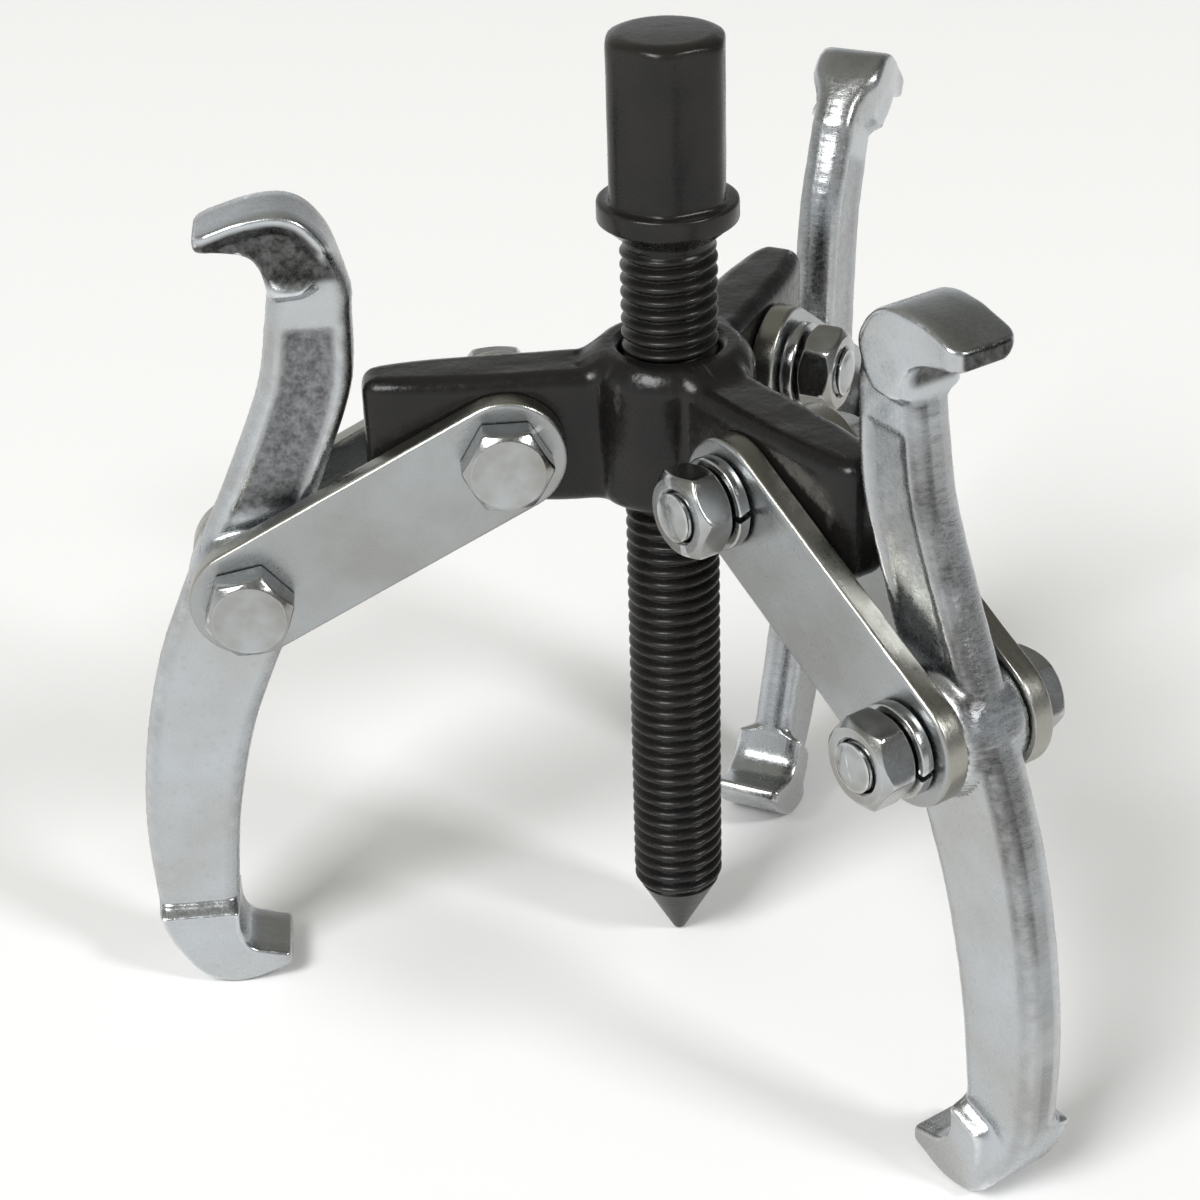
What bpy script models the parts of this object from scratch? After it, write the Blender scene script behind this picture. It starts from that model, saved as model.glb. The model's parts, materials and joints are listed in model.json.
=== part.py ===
"""Three-jaw gear puller: threaded yoke, forcing screw, three pairs of straps and three reversible jaws.

Frame: metres, +Z up along the forcing screw, origin at the flat on the screw's point.
The arms stand at 120 degrees to each other, the first one towards -X.
"""
import math

import bmesh
import bpy
from mathutils import Matrix, Vector

MM = 0.001

# ---- fits ----
CONTACT_GAP = 0.3 * MM         # between faces that bear on each other
BOLT_CLEARANCE = 0.3 * MM      # between a bolt's shank and its hole, on the radius
THREAD_CLEARANCE = 0.3 * MM    # between the screw's crest and the yoke's bore, on the radius
ARM_TO_JAW_GAP = 0.9 * MM      # between an arm's end and the back of the jaw that leans on it
TIP_ABOVE_FEET = 0.4 * MM      # the screw's point clears the surface that the jaws stand on

# ---- forcing screw ----
THREAD_RADIUS = 6.0 * MM
POINT_LENGTH = 9.4 * MM
POINT_FLAT_RADIUS = 0.9 * MM
FLANGE_RADIUS = 8.65 * MM
FLANGE_RIM_HEIGHT = 2.6 * MM
FLANGE_CONE_HEIGHT = 2.2 * MM
FLANGE_ABOVE_HUB = 13.7 * MM   # from the hub's top to the foot of the flange's cone
HEAD_ACROSS_FLATS = 14.0 * MM
HEAD_HEIGHT = 20.4 * MM
HEAD_TURN = math.radians(-99.5)  # direction of one corner
HEAD_CHAMFER = 2.0 * MM
FLANGE_EDGE = 0.5 * MM

# ---- yoke ----
BOLT_HEIGHT = 77.5 * MM        # the arm bolts' axes above the screw's point
BOLT_CIRCLE_RADIUS = 21.0 * MM
HUB_RADIUS = 10.6 * MM
HUB_TOP = 10.9 * MM            # above the arm bolts' axes
HUB_BOTTOM = 8.4 * MM          # below the arm bolts' axes
ARM_THICKNESS = 9.4 * MM
ARM_TOP = 9.2 * MM
ARM_TIP_BOTTOM = 6.2 * MM
WEB_FILLET = 7.0 * MM          # concave corner between two arms, in plan
YOKE_EDGE = 1.5 * MM
BORE_CHAMFER = 0.9 * MM
BORE_OVERSHOOT = 2.0 * MM      # how far the bore's cutter runs past the hub's faces

# ---- straps ----
STRAP_CENTRES = 37.0 * MM
STRAP_WIDTH = 15.0 * MM
STRAP_THICKNESS = 3.0 * MM
STRAP_EDGE = 0.35 * MM

# ---- fasteners ----
BOLT_RADIUS = 3.0 * MM
HEX_ACROSS_FLATS = 10.0 * MM
HEX_CHAMFER = 0.7 * MM
HEX_FACE_INSET = 0.4 * MM      # the chamfer's circle inside the flats
BOLT_HEAD_HEIGHT = 4.0 * MM
NUT_HEIGHT = 4.8 * MM
BOLT_END_PROUD = 1.0 * MM      # the bolt's round end past its nut
WASHER_RADIUS = 5.7 * MM
WASHER_THICKNESS = 1.4 * MM
WASHER_SPLIT = 0.8 * MM
WASHER_EDGE = 0.25 * MM
NUT_LIP = 0.5 * MM             # countersink at both ends of the nut's bore
BOLT_TURN_STEP = math.radians(7.0)   # each arm's bolts came to rest turned a little differently
JAW_BOLT_TURN = math.radians(-11.0)

# ---- jaws ----
JAW_ABOVE = 49.2 * MM          # from the hinge up to the top of the claw
JAW_BELOW = 60.4 * MM          # from the hinge down to the sole of the toe
JAW_THICKNESS = 6.0 * MM
HOOK_WIDTH = 10.0 * MM
BOSS_RADIUS = 7.2 * MM
BOSS_EDGE = 0.3 * MM
JAW_EDGE_SHARE = 0.30          # corner rounding, as a share of the section's half thickness

# Ribs along the jaw, claw tip first: the inner and the outer edge as (out, up) from the hinge in
# millimetres, and how far the section has widened from the shank (0) to the hook (1).
# They are drawn for a jaw reaching RIBS_ABOVE and RIBS_BELOW its hinge, and stretched to suit.
RIBS_ABOVE = 48.7 * MM
RIBS_BELOW = 60.4 * MM
JAW_RIBS = [
    ((1.7, 46.9), (1.9, 45.2), 0.9),
    ((-4.2, 48.7), (-2.8, 43.3), 1.0),
    ((-9.6, 48.4), (-4.6, 41.6), 1.0),
    ((-13.5, 44.4), (-5.3, 38.6), 1.0),
    ((-15.5, 38.4), (-4.9, 35.6), 0.9),
    ((-15.5, 35.2), (-4.5, 33.2), 0.0),
    ((-14.7, 25.6), (-2.9, 25.4), 0.0),
    ((-10.9, 15.1), (2.0, 13.6), 0.0),
    ((-7.5, 6.0), (6.0, 5.2), 0.0),
    ((-6.6, -3.2), (9.4, -2.6), 0.0),
    ((-2.5, -12.0), (12.8, -11.2), 0.0),
    ((1.5, -22.3), (15.6, -22.4), 0.0),
    ((4.4, -34.6), (17.2, -34.8), 0.0),
    ((5.7, -45.2), (17.1, -46.0), 0.0),
    ((5.9, -49.2), (16.6, -50.0), 0.8),
    ((5.8, -52.6), (15.0, -54.2), 1.0),
    ((4.6, -54.7), (11.6, -58.9), 1.0),
    ((2.2, -55.5), (6.6, -60.4), 1.0),
    ((-0.2, -56.1), (-0.4, -58.2), 1.0),
]
RIB_STEPS = 2                  # smooth sections between two ribs

# ---- rest pose: arm name, direction, and how far its toe is swung in towards the screw ----
ARMS = [
    ("left", math.radians(180.0), math.radians(0.0)),
    ("right", math.radians(300.0), math.radians(-0.9)),
    ("rear", math.radians(60.0), math.radians(28.0)),
]

ROUND_SEGMENTS = 32
SMALL_SEGMENTS = 24
SHARP_ANGLE = math.radians(35.0)
SLIVER = 0.08 * MM             # points closer than this are merged after the cuts


def clear_scene():
    for obj in list(bpy.data.objects):
        bpy.data.objects.remove(obj, do_unlink=True)


def make_material(name, colour, roughness, metallic):
    material = bpy.data.materials.new(name)
    material.use_nodes = True
    shader = material.node_tree.nodes["Principled BSDF"]
    shader.inputs["Base Color"].default_value = (*colour, 1.0)
    shader.inputs["Roughness"].default_value = roughness
    shader.inputs["Metallic"].default_value = metallic
    return material


def add_object(name, mesh, material, parent=None, matrix=None):
    """Link a mesh as a named object, shaded smooth with its real edges kept sharp."""
    mesh.shade_smooth()
    mesh.set_sharp_from_angle(angle=SHARP_ANGLE)
    obj = bpy.data.objects.new(name, mesh)
    bpy.context.scene.collection.objects.link(obj)
    if not mesh.materials:
        mesh.materials.append(material)
    obj.parent = parent
    obj.matrix_local = matrix if matrix else Matrix.Identity(4)
    return obj


def add_empty(name, parent, matrix):
    empty = bpy.data.objects.new(name, None)
    empty.empty_display_size = 0.01
    bpy.context.scene.collection.objects.link(empty)
    empty.parent = parent
    empty.matrix_local = matrix
    return empty


def add_cutter(name, mesh, parent=None, matrix=None):
    cutter = bpy.data.objects.new(name, mesh)
    bpy.context.scene.collection.objects.link(cutter)
    cutter.hide_render = True
    cutter.display_type = "WIRE"
    cutter.parent = parent
    cutter.matrix_local = matrix if matrix else Matrix.Identity(4)
    return cutter


def add_boolean(obj, other, operation):
    modifier = obj.modifiers.new(operation.lower(), "BOOLEAN")
    modifier.operation = operation
    modifier.solver = "EXACT"
    modifier.object = other


def add_weld(obj):
    """Merge the slivers that a Boolean leaves where two faces meet at a shallow angle."""
    modifier = obj.modifiers.new("weld", "WELD")
    modifier.merge_threshold = SLIVER


def mesh_from(name, build):
    """A new mesh filled by build(bm), with its normals pointing out."""
    mesh = bpy.data.meshes.new(name)
    bm = bmesh.new()
    build(bm)
    bmesh.ops.recalc_face_normals(bm, faces=bm.faces[:])
    bm.to_mesh(mesh)
    bm.free()
    return mesh


def ring(radius, z, segments, turn=0.0):
    return [
        Vector((radius * math.cos(turn + math.tau * i / segments),
                radius * math.sin(turn + math.tau * i / segments), z))
        for i in range(segments)
    ]


def hexagon(across_flats, z, turn, points_per_side):
    """A hexagon's outline with its corners at turn + 60 degrees * n."""
    corners = ring(across_flats / math.sqrt(3.0), z, 6, turn)
    points = []
    for i, corner in enumerate(corners):
        following = corners[(i + 1) % 6]
        points += [corner.lerp(following, k / points_per_side) for k in range(points_per_side)]
    return points


def clipped(points, radius):
    """The same outline with nothing further than radius from the axis."""
    return [Vector((p.x, p.y, 0.0)) * min(1.0, radius / math.hypot(p.x, p.y)) + Vector((0, 0, p.z))
            for p in points]


def loft(bm, rings, closed=False):
    """Join rings of equal length with quads; cap both ends unless the loft closes on itself."""
    loops = [[bm.verts.new(p) for p in points] for points in rings]
    pairs = list(zip(loops, loops[1:]))
    if closed:
        pairs.append((loops[-1], loops[0]))
    for low, high in pairs:
        count = len(low)
        for i in range(count):
            following = (i + 1) % count
            bm.faces.new((low[i], low[following], high[following], high[i]))
    if not closed:
        bm.faces.new(loops[0])
        bm.faces.new(loops[-1])


def turned(name, profile, segments):
    """A solid of revolution about Z from (radius, z) points, bottom to top."""
    return mesh_from(name, lambda bm: loft(bm, [ring(r, z, segments) for r, z in profile]))


def spread(control, steps):
    """Points on a Catmull-Rom curve through the control points, ends included."""
    padded = [control[0], *control, control[-1]]
    points = []
    for before, start, end, after in zip(padded, padded[1:], padded[2:], padded[3:]):
        for k in range(steps):
            t = k / steps
            points.append(0.5 * (2.0 * start + (end - before) * t
                                 + (2.0 * before - 5.0 * start + 4.0 * end - after) * t ** 2
                                 + (3.0 * start - 3.0 * end + after - before) * t ** 3))
    return points + [control[-1]]


# ---- forcing screw ----

def flange_foot_height():
    return BOLT_HEIGHT + HUB_TOP + FLANGE_ABOVE_HUB


def build_forcing_screw(material):
    """Point, plain shank at the thread's crest, conical flange and hexagon head, in one forging."""
    foot = flange_foot_height()
    rim = foot + FLANGE_CONE_HEIGHT
    seat = rim + FLANGE_RIM_HEIGHT
    top = seat + HEAD_HEIGHT
    side_points = 6
    count = 6 * side_points
    inscribed = HEAD_ACROSS_FLATS / 2.0

    def head_ring(z, limit):
        return clipped(hexagon(HEAD_ACROSS_FLATS, z, HEAD_TURN, side_points), limit)

    def build(bm):
        rings = [ring(r, z, count, HEAD_TURN) for r, z in (
            (POINT_FLAT_RADIUS, 0.0),
            (THREAD_RADIUS, POINT_LENGTH),
            (THREAD_RADIUS, foot),
            (FLANGE_RADIUS - FLANGE_EDGE, rim - 0.3 * FLANGE_EDGE),
            (FLANGE_RADIUS, rim + 0.6 * FLANGE_EDGE),
            (FLANGE_RADIUS, seat - FLANGE_EDGE),
            (FLANGE_RADIUS - FLANGE_EDGE, seat),
        )]
        corner = HEAD_ACROSS_FLATS / math.sqrt(3.0)
        rings.append(head_ring(seat, corner))
        rings.append(head_ring(top - HEAD_CHAMFER, corner))
        rings.append(head_ring(top - 0.5 * HEAD_CHAMFER, inscribed + 0.15 * HEAD_CHAMFER))
        rings.append(head_ring(top, inscribed - 0.7 * HEAD_CHAMFER))
        loft(bm, rings)

    return add_object("forcing_screw", mesh_from("forcing_screw", build), material)


# ---- yoke ----

def arm_end_radius():
    """Arms end just short of the back of a jaw that hangs upright at its strap's rest angle."""
    swing = ARMS[0][2]
    hinge = BOLT_CIRCLE_RADIUS + STRAP_CENTRES * math.cos(strap_droop(swing))
    backs = [inner.x for inner, _, _ in jaw_sections()
             if -ARM_TIP_BOTTOM < hinge_drop(swing, inner) < ARM_TOP]
    return hinge + min(backs) - ARM_TO_JAW_GAP


def hinge_drop(swing, point):
    """Height of a point of the upright jaw above the arm bolts' axes."""
    return point.y - STRAP_CENTRES * math.sin(strap_droop(swing))


def plan_outline(end_radius):
    """The yoke in plan: three arms, with a concave arc between each two."""
    half = ARM_THICKNESS / 2.0
    steps = 6
    # The arc is tangent to both arm sides, so its centre lies on the line between the arms.
    centre_distance = (half + WEB_FILLET) / math.sin(math.radians(60.0))
    points = []
    for _, direction, _ in sorted(ARMS, key=lambda arm: arm[1]):
        along = Vector((math.cos(direction), math.sin(direction)))
        across = Vector((-along.y, along.x))
        corner = YOKE_EDGE
        points += [along * (end_radius - corner) - across * half,
                   along * end_radius - across * (half - corner),
                   along * end_radius + across * (half - corner),
                   along * (end_radius - corner) + across * half]
        bisector = direction + math.radians(60.0)
        centre = Vector((math.cos(bisector), math.sin(bisector))) * centre_distance
        first = direction - math.radians(90.0)
        points += [centre + WEB_FILLET * Vector((math.cos(first - math.radians(60.0) * k / steps),
                                                 math.sin(first - math.radians(60.0) * k / steps)))
                   for k in range(steps + 1)]
    return points


def build_yoke(material):
    """Forged spider: three arms, a round hub standing proud of them, one bore and three bolt holes."""
    end_radius = arm_end_radius()
    outline = plan_outline(end_radius)
    start = BOLT_CIRCLE_RADIUS

    def underside(point):
        reach = max(0.0, (point.length - start) / (end_radius - start))
        return BOLT_HEIGHT - HUB_BOTTOM + (HUB_BOTTOM - ARM_TIP_BOTTOM) * min(1.0, reach)

    def inset(point, amount):
        return point * (1.0 - amount / point.length)

    def build_arms(bm):
        edge = YOKE_EDGE
        top = BOLT_HEIGHT + ARM_TOP
        loft(bm, [
            [Vector((*inset(p, edge), underside(p))) for p in outline],
            [Vector((*p, underside(p) + edge)) for p in outline],
            [Vector((*p, top - edge)) for p in outline],
            [Vector((*inset(p, edge), top)) for p in outline],
        ])

    top = BOLT_HEIGHT + HUB_TOP
    bottom = BOLT_HEIGHT - HUB_BOTTOM - YOKE_EDGE / 2.0
    hub = turned("hub_tool", [
        (HUB_RADIUS - YOKE_EDGE, bottom),
        (HUB_RADIUS, bottom + YOKE_EDGE),
        (HUB_RADIUS, top - YOKE_EDGE),
        (HUB_RADIUS - YOKE_EDGE, top),
    ], ROUND_SEGMENTS)
    bore_radius = THREAD_RADIUS + THREAD_CLEARANCE
    bore = turned("bore_tool", [
        (bore_radius + BORE_CHAMFER + BORE_OVERSHOOT, bottom - BORE_OVERSHOOT),
        (bore_radius, bottom + BORE_CHAMFER),
        (bore_radius, top - BORE_CHAMFER),
        (bore_radius + BORE_CHAMFER + BORE_OVERSHOOT, top + BORE_OVERSHOOT),
    ], ROUND_SEGMENTS)
    yoke = add_object("yoke", mesh_from("yoke", build_arms), material)
    add_boolean(yoke, add_cutter("hub_tool", hub), "UNION")
    add_boolean(yoke, add_cutter("bore_tool", bore), "DIFFERENCE")
    hole = turned("bolt_hole_tool", [
        (BOLT_RADIUS + BOLT_CLEARANCE, -ARM_THICKNESS),
        (BOLT_RADIUS + BOLT_CLEARANCE, ARM_THICKNESS),
    ], SMALL_SEGMENTS)
    for name, direction, _ in ARMS:
        cutter = add_cutter(f"bolt_hole_tool_{name}", hole, matrix=arm_frame(direction))
        add_boolean(yoke, cutter, "DIFFERENCE")
    add_weld(yoke)
    return yoke


# ---- placing ----

def arm_frame(direction):
    """Local X points out along the arm, Y up and Z across it, at the arm bolt's axis."""
    out = Vector((math.cos(direction), math.sin(direction), 0.0))
    up = Vector((0.0, 0.0, 1.0))
    across = out.cross(up)
    rotation = Matrix((out, up, across)).transposed().to_4x4()
    return Matrix.Translation(out * BOLT_CIRCLE_RADIUS + up * BOLT_HEIGHT) @ rotation


def rotated(point, angle):
    return Vector((point.x * math.cos(angle) - point.y * math.sin(angle),
                   point.x * math.sin(angle) + point.y * math.cos(angle)))


def strap_droop(swing):
    """How far a strap hangs below level when its jaw, swung in by swing, stands on its toe."""
    sole = min(rotated(outer, -swing).y for _, outer, _ in jaw_sections())
    drop = BOLT_HEIGHT + TIP_ABOVE_FEET + sole
    return math.asin(drop / STRAP_CENTRES)


# ---- straps ----

def build_strap_mesh():
    """Flat bar with round ends and two holes, from the arm bolt (origin) out along X."""
    radius = STRAP_WIDTH / 2.0
    arc_steps = 12

    def outline(shrink, z):
        points = []
        for centre, first in ((STRAP_CENTRES, -90.0), (0.0, 90.0)):
            for k in range(arc_steps + 1):
                angle = math.radians(first + 180.0 * k / arc_steps)
                points.append(Vector((centre + (radius - shrink) * math.cos(angle),
                                      (radius - shrink) * math.sin(angle), z)))
        return points

    def build(bm):
        half = STRAP_THICKNESS / 2.0
        loft(bm, [outline(STRAP_EDGE, -half), outline(0.0, -half + STRAP_EDGE),
                  outline(0.0, half - STRAP_EDGE), outline(STRAP_EDGE, half)])

    return mesh_from("strap", build)


def build_strap(name, parent, side, mesh, hole_mesh, material):
    """One strap on one side of its arm; side is +1 or -1 along the bolts."""
    offset = side * (ARM_THICKNESS / 2.0 + CONTACT_GAP + STRAP_THICKNESS / 2.0)
    strap = add_object(name, mesh, material, parent, Matrix.Translation((0.0, 0.0, offset)))
    for end, x in (("inner", 0.0), ("outer", STRAP_CENTRES)):
        place = Matrix.Translation((x, 0.0, offset))
        cutter = add_cutter(f"{name}_{end}_hole_tool", hole_mesh, parent, place)
        add_boolean(strap, cutter, "DIFFERENCE")
    return strap


# ---- fasteners ----

def strap_face():
    return ARM_THICKNESS / 2.0 + CONTACT_GAP + STRAP_THICKNESS


def washer_far_face():
    return strap_face() + CONTACT_GAP + WASHER_THICKNESS


def nut_far_face():
    return washer_far_face() + CONTACT_GAP + NUT_HEIGHT


def build_bolt_mesh():
    """Hexagon head at the +Z end, shank along Z, a rounded end at -Z."""
    head_seat = strap_face() + CONTACT_GAP
    head_top = head_seat + BOLT_HEAD_HEIGHT
    end = -(nut_far_face() + BOLT_END_PROUD)
    side_points = 4
    count = 6 * side_points
    inscribed = HEX_ACROSS_FLATS / 2.0
    corner = HEX_ACROSS_FLATS / math.sqrt(3.0)
    turn = math.radians(30.0)
    dome = 0.6 * BOLT_END_PROUD

    def hex_ring(z, limit):
        return clipped(hexagon(HEX_ACROSS_FLATS, z, turn, side_points), limit)

    def build(bm):
        loft(bm, [
            ring(0.45 * BOLT_RADIUS, end, count, turn),
            ring(0.85 * BOLT_RADIUS, end + 0.4 * dome, count, turn),
            ring(BOLT_RADIUS, end + dome, count, turn),
            ring(BOLT_RADIUS, head_seat, count, turn),
            hex_ring(head_seat, corner),
            hex_ring(head_top - HEX_CHAMFER, corner),
            hex_ring(head_top - 0.4 * HEX_CHAMFER, inscribed + 0.5 * HEX_FACE_INSET),
            hex_ring(head_top, inscribed - HEX_FACE_INSET),
        ])

    return mesh_from("bolt", build)


def build_nut_mesh():
    """Hexagon nut with a plain bore and both faces chamfered, towards the bolt's round end."""
    near = -(washer_far_face() + CONTACT_GAP)
    far = -nut_far_face()
    side_points = 4
    count = 6 * side_points
    inscribed = HEX_ACROSS_FLATS / 2.0
    corner = HEX_ACROSS_FLATS / math.sqrt(3.0)
    turn = math.radians(30.0)
    bore = BOLT_RADIUS + BOLT_CLEARANCE

    def hex_ring(z, limit):
        return clipped(hexagon(HEX_ACROSS_FLATS, z, turn, side_points), limit)

    def build(bm):
        loft(bm, [
            hex_ring(far, inscribed - 0.5 * HEX_FACE_INSET),
            hex_ring(far + HEX_CHAMFER, corner),
            hex_ring(near - HEX_CHAMFER, corner),
            hex_ring(near, inscribed - 0.5 * HEX_FACE_INSET),
            ring(bore + NUT_LIP, near, count, turn),
            ring(bore, near - NUT_LIP, count, turn),
            ring(bore, far + NUT_LIP, count, turn),
            ring(bore + NUT_LIP, far, count, turn),
        ], closed=True)

    return mesh_from("nut", build)


def build_washer_mesh():
    """Spring lock washer: a flat-section ring with one narrow split."""
    near = -(strap_face() + CONTACT_GAP)
    far = -washer_far_face()
    bore = BOLT_RADIUS + BOLT_CLEARANCE
    half_split = math.asin(WASHER_SPLIT / 2.0 / WASHER_RADIUS)
    steps = 26

    def section(angle):
        along = Vector((math.cos(angle), math.sin(angle), 0.0))
        corners = [(bore, near), (WASHER_RADIUS - WASHER_EDGE, near),
                   (WASHER_RADIUS, near - WASHER_EDGE), (WASHER_RADIUS, far + WASHER_EDGE),
                   (WASHER_RADIUS - WASHER_EDGE, far), (bore, far)]
        return [along * r + Vector((0.0, 0.0, z)) for r, z in corners]

    def build(bm):
        span = math.tau - 2.0 * half_split
        loft(bm, [section(half_split + span * k / steps) for k in range(steps + 1)])

    return mesh_from("lock_washer", build)


def build_fasteners(arm, end, parent, x, turn, meshes, material):
    """A bolt with its lock washer and nut at distance x along the straps."""
    facing = Matrix.Rotation(turn, 4, "Z") @ Matrix.Rotation(math.pi, 4, "X")
    place = Matrix.Translation((x, 0.0, 0.0)) @ facing
    for kind, mesh in meshes.items():
        add_object(f"{arm}_{end}_{kind}", mesh, material, parent, place)


# ---- jaws ----

def jaw_sections():
    """Smooth (inner edge, outer edge, half thickness) sections of the jaw, claw tip first."""
    def scaled(point):
        stretch = JAW_ABOVE / RIBS_ABOVE if point[1] > 0.0 else JAW_BELOW / RIBS_BELOW
        return Vector((point[0] * MM, point[1] * MM * stretch))

    inner = spread([scaled(rib[0]) for rib in JAW_RIBS], RIB_STEPS)
    outer = spread([scaled(rib[1]) for rib in JAW_RIBS], RIB_STEPS)
    halves = [JAW_THICKNESS / 2.0 + rib[2] * (HOOK_WIDTH - JAW_THICKNESS) / 2.0 for rib in JAW_RIBS]
    thickness = []
    for start, end in zip(halves, halves[1:]):
        thickness += [start + (end - start) * k / RIB_STEPS for k in range(RIB_STEPS)]
    thickness.append(halves[-1])
    return list(zip(inner, outer, thickness))


def build_jaw_mesh():
    """Forged S-shaped bar, hinge at the origin, X out and Y up: a claw above and a toe below."""
    def section(inner, outer, half):
        corner = JAW_EDGE_SHARE * half
        across = (outer - inner).normalized()
        near, far = inner + across * corner, outer - across * corner
        return [Vector((*inner, -half + corner)), Vector((*near, -half)),
                Vector((*far, -half)), Vector((*outer, -half + corner)),
                Vector((*outer, half - corner)), Vector((*far, half)),
                Vector((*near, half)), Vector((*inner, half - corner))]

    return mesh_from("jaw", lambda bm: loft(bm, [section(*rib) for rib in reversed(jaw_sections())]))


def build_jaw(name, parent, meshes, material):
    jaw = add_object(name, meshes["jaw"], material, parent)
    for kind, operation in (("boss", "UNION"), ("hinge_hole", "DIFFERENCE")):
        cutter = add_cutter(f"{name}_{kind}_tool", meshes[kind], parent)
        add_boolean(jaw, cutter, operation)
    add_weld(jaw)
    return jaw


def main():
    clear_scene()
    black = make_material("black_finish", (0.020, 0.019, 0.018), 0.38, 0.35)
    plated = make_material("zinc_plate", (0.62, 0.64, 0.66), 0.30, 1.0)

    build_yoke(black)
    build_forcing_screw(black)

    strap_mesh = build_strap_mesh()
    strap_hole = turned("strap_hole_tool", [
        (BOLT_RADIUS + BOLT_CLEARANCE, -STRAP_THICKNESS),
        (BOLT_RADIUS + BOLT_CLEARANCE, STRAP_THICKNESS),
    ], SMALL_SEGMENTS)
    fasteners = {
        "bolt": build_bolt_mesh(),
        "lock_washer": build_washer_mesh(),
        "nut": build_nut_mesh(),
    }
    jaw_meshes = {
        "jaw": build_jaw_mesh(),
        "boss": turned("boss_tool", [
            (BOSS_RADIUS - BOSS_EDGE, -ARM_THICKNESS / 2.0),
            (BOSS_RADIUS, -ARM_THICKNESS / 2.0 + BOSS_EDGE),
            (BOSS_RADIUS, ARM_THICKNESS / 2.0 - BOSS_EDGE),
            (BOSS_RADIUS - BOSS_EDGE, ARM_THICKNESS / 2.0),
        ], ROUND_SEGMENTS),
        "hinge_hole": turned("hinge_hole_tool", [
            (BOLT_RADIUS + BOLT_CLEARANCE, -ARM_THICKNESS),
            (BOLT_RADIUS + BOLT_CLEARANCE, ARM_THICKNESS),
        ], SMALL_SEGMENTS),
    }

    for number, (arm, direction, swing) in enumerate(ARMS):
        droop = strap_droop(swing)
        hinge = add_empty(f"{arm}_strap_hinge", None, arm_frame(direction) @ Matrix.Rotation(-droop, 4, "Z"))
        for side, side_name in ((1, "front"), (-1, "back")):
            build_strap(f"{arm}_strap_{side_name}", hinge, side, strap_mesh, strap_hole, plated)
        turn = droop + number * BOLT_TURN_STEP
        build_fasteners(arm, "arm", hinge, 0.0, turn, fasteners, plated)
        build_fasteners(arm, "jaw", hinge, STRAP_CENTRES, turn + JAW_BOLT_TURN, fasteners, plated)
        hang = Matrix.Rotation(droop - swing, 4, "Z")
        jaw_hinge = add_empty(f"{arm}_jaw_hinge", hinge,
                              Matrix.Translation((STRAP_CENTRES, 0.0, 0.0)) @ hang)
        build_jaw(f"{arm}_jaw", jaw_hinge, jaw_meshes, plated)


main()
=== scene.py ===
import json
import math
import bmesh
import bpy
import numpy as np
from mathutils import Matrix, Vector


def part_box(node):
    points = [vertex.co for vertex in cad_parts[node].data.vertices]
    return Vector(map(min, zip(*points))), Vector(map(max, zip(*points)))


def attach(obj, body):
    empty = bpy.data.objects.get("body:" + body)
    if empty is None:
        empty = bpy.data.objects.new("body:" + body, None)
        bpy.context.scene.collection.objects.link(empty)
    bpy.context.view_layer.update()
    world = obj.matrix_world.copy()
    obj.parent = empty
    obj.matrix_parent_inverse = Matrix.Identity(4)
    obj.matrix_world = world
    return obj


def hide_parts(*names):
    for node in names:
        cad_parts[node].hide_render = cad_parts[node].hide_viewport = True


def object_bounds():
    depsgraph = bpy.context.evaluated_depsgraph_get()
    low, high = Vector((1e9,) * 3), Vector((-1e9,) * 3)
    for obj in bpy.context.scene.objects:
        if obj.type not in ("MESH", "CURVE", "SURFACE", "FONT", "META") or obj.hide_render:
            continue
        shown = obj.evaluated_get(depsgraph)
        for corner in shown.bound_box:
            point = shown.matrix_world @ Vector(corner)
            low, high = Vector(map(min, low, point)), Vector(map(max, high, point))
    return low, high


# Three-jaw gear puller: black forged yoke and forcing screw, zinc-plated straps, jaws and fasteners.
# Every piece is worked out in its own local millimetres, placed from the frame, and kept in its mesh.

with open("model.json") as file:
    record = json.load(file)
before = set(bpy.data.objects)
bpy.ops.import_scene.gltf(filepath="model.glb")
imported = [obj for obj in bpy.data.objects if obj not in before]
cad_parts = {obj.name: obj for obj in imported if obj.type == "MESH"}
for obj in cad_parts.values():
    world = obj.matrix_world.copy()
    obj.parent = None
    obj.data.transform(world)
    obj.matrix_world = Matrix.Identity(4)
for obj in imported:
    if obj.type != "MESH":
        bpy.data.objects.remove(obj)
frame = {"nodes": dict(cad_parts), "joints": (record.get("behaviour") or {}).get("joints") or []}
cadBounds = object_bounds()
mm = 0.001
tau = math.tau
joints = {joint["name"]: joint for joint in frame["joints"]}
print("frame loaded:", len(frame["nodes"]), "nodes")


def smoothStep(low, high, value):
    # 3t^2 - 2t^3 of value between low and high, flat outside
    t = np.clip((value - low) / (high - low), 0.0, 1.0)
    return t * t * (3.0 - 2.0 * t)


def lumps(x, y, z, size, seed):
    # five crossed sine waves of about the given size, each turned and shifted by the seed: -1 to 1
    rng = np.random.default_rng(seed)
    total = 0.0
    for octave in range(5):
        turn = rng.normal(size=3)
        turn *= tau * (1.0 + 0.35 * octave) / (size * np.linalg.norm(turn))
        total = total + np.sin(turn[0] * x + turn[1] * y + turn[2] * z + rng.uniform(0.0, tau))
    return total / 3.0


def catmullRom(points, u):
    # curve through the points; u runs from 0 at the first to len - 1 at the last
    points = np.asarray(points, float)
    padded = np.vstack([points[:1], points, points[-1:]])
    k = np.clip(np.floor(u).astype(int), 0, len(points) - 2)
    t = (u - k)[:, None]
    before, start, end, after = padded[k], padded[k + 1], padded[k + 2], padded[k + 3]
    return 0.5 * (2.0 * start + (end - before) * t
                  + (2.0 * before - 5.0 * start + 4.0 * end - after) * t ** 2
                  + (3.0 * start - 3.0 * end + after - before) * t ** 3)


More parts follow.
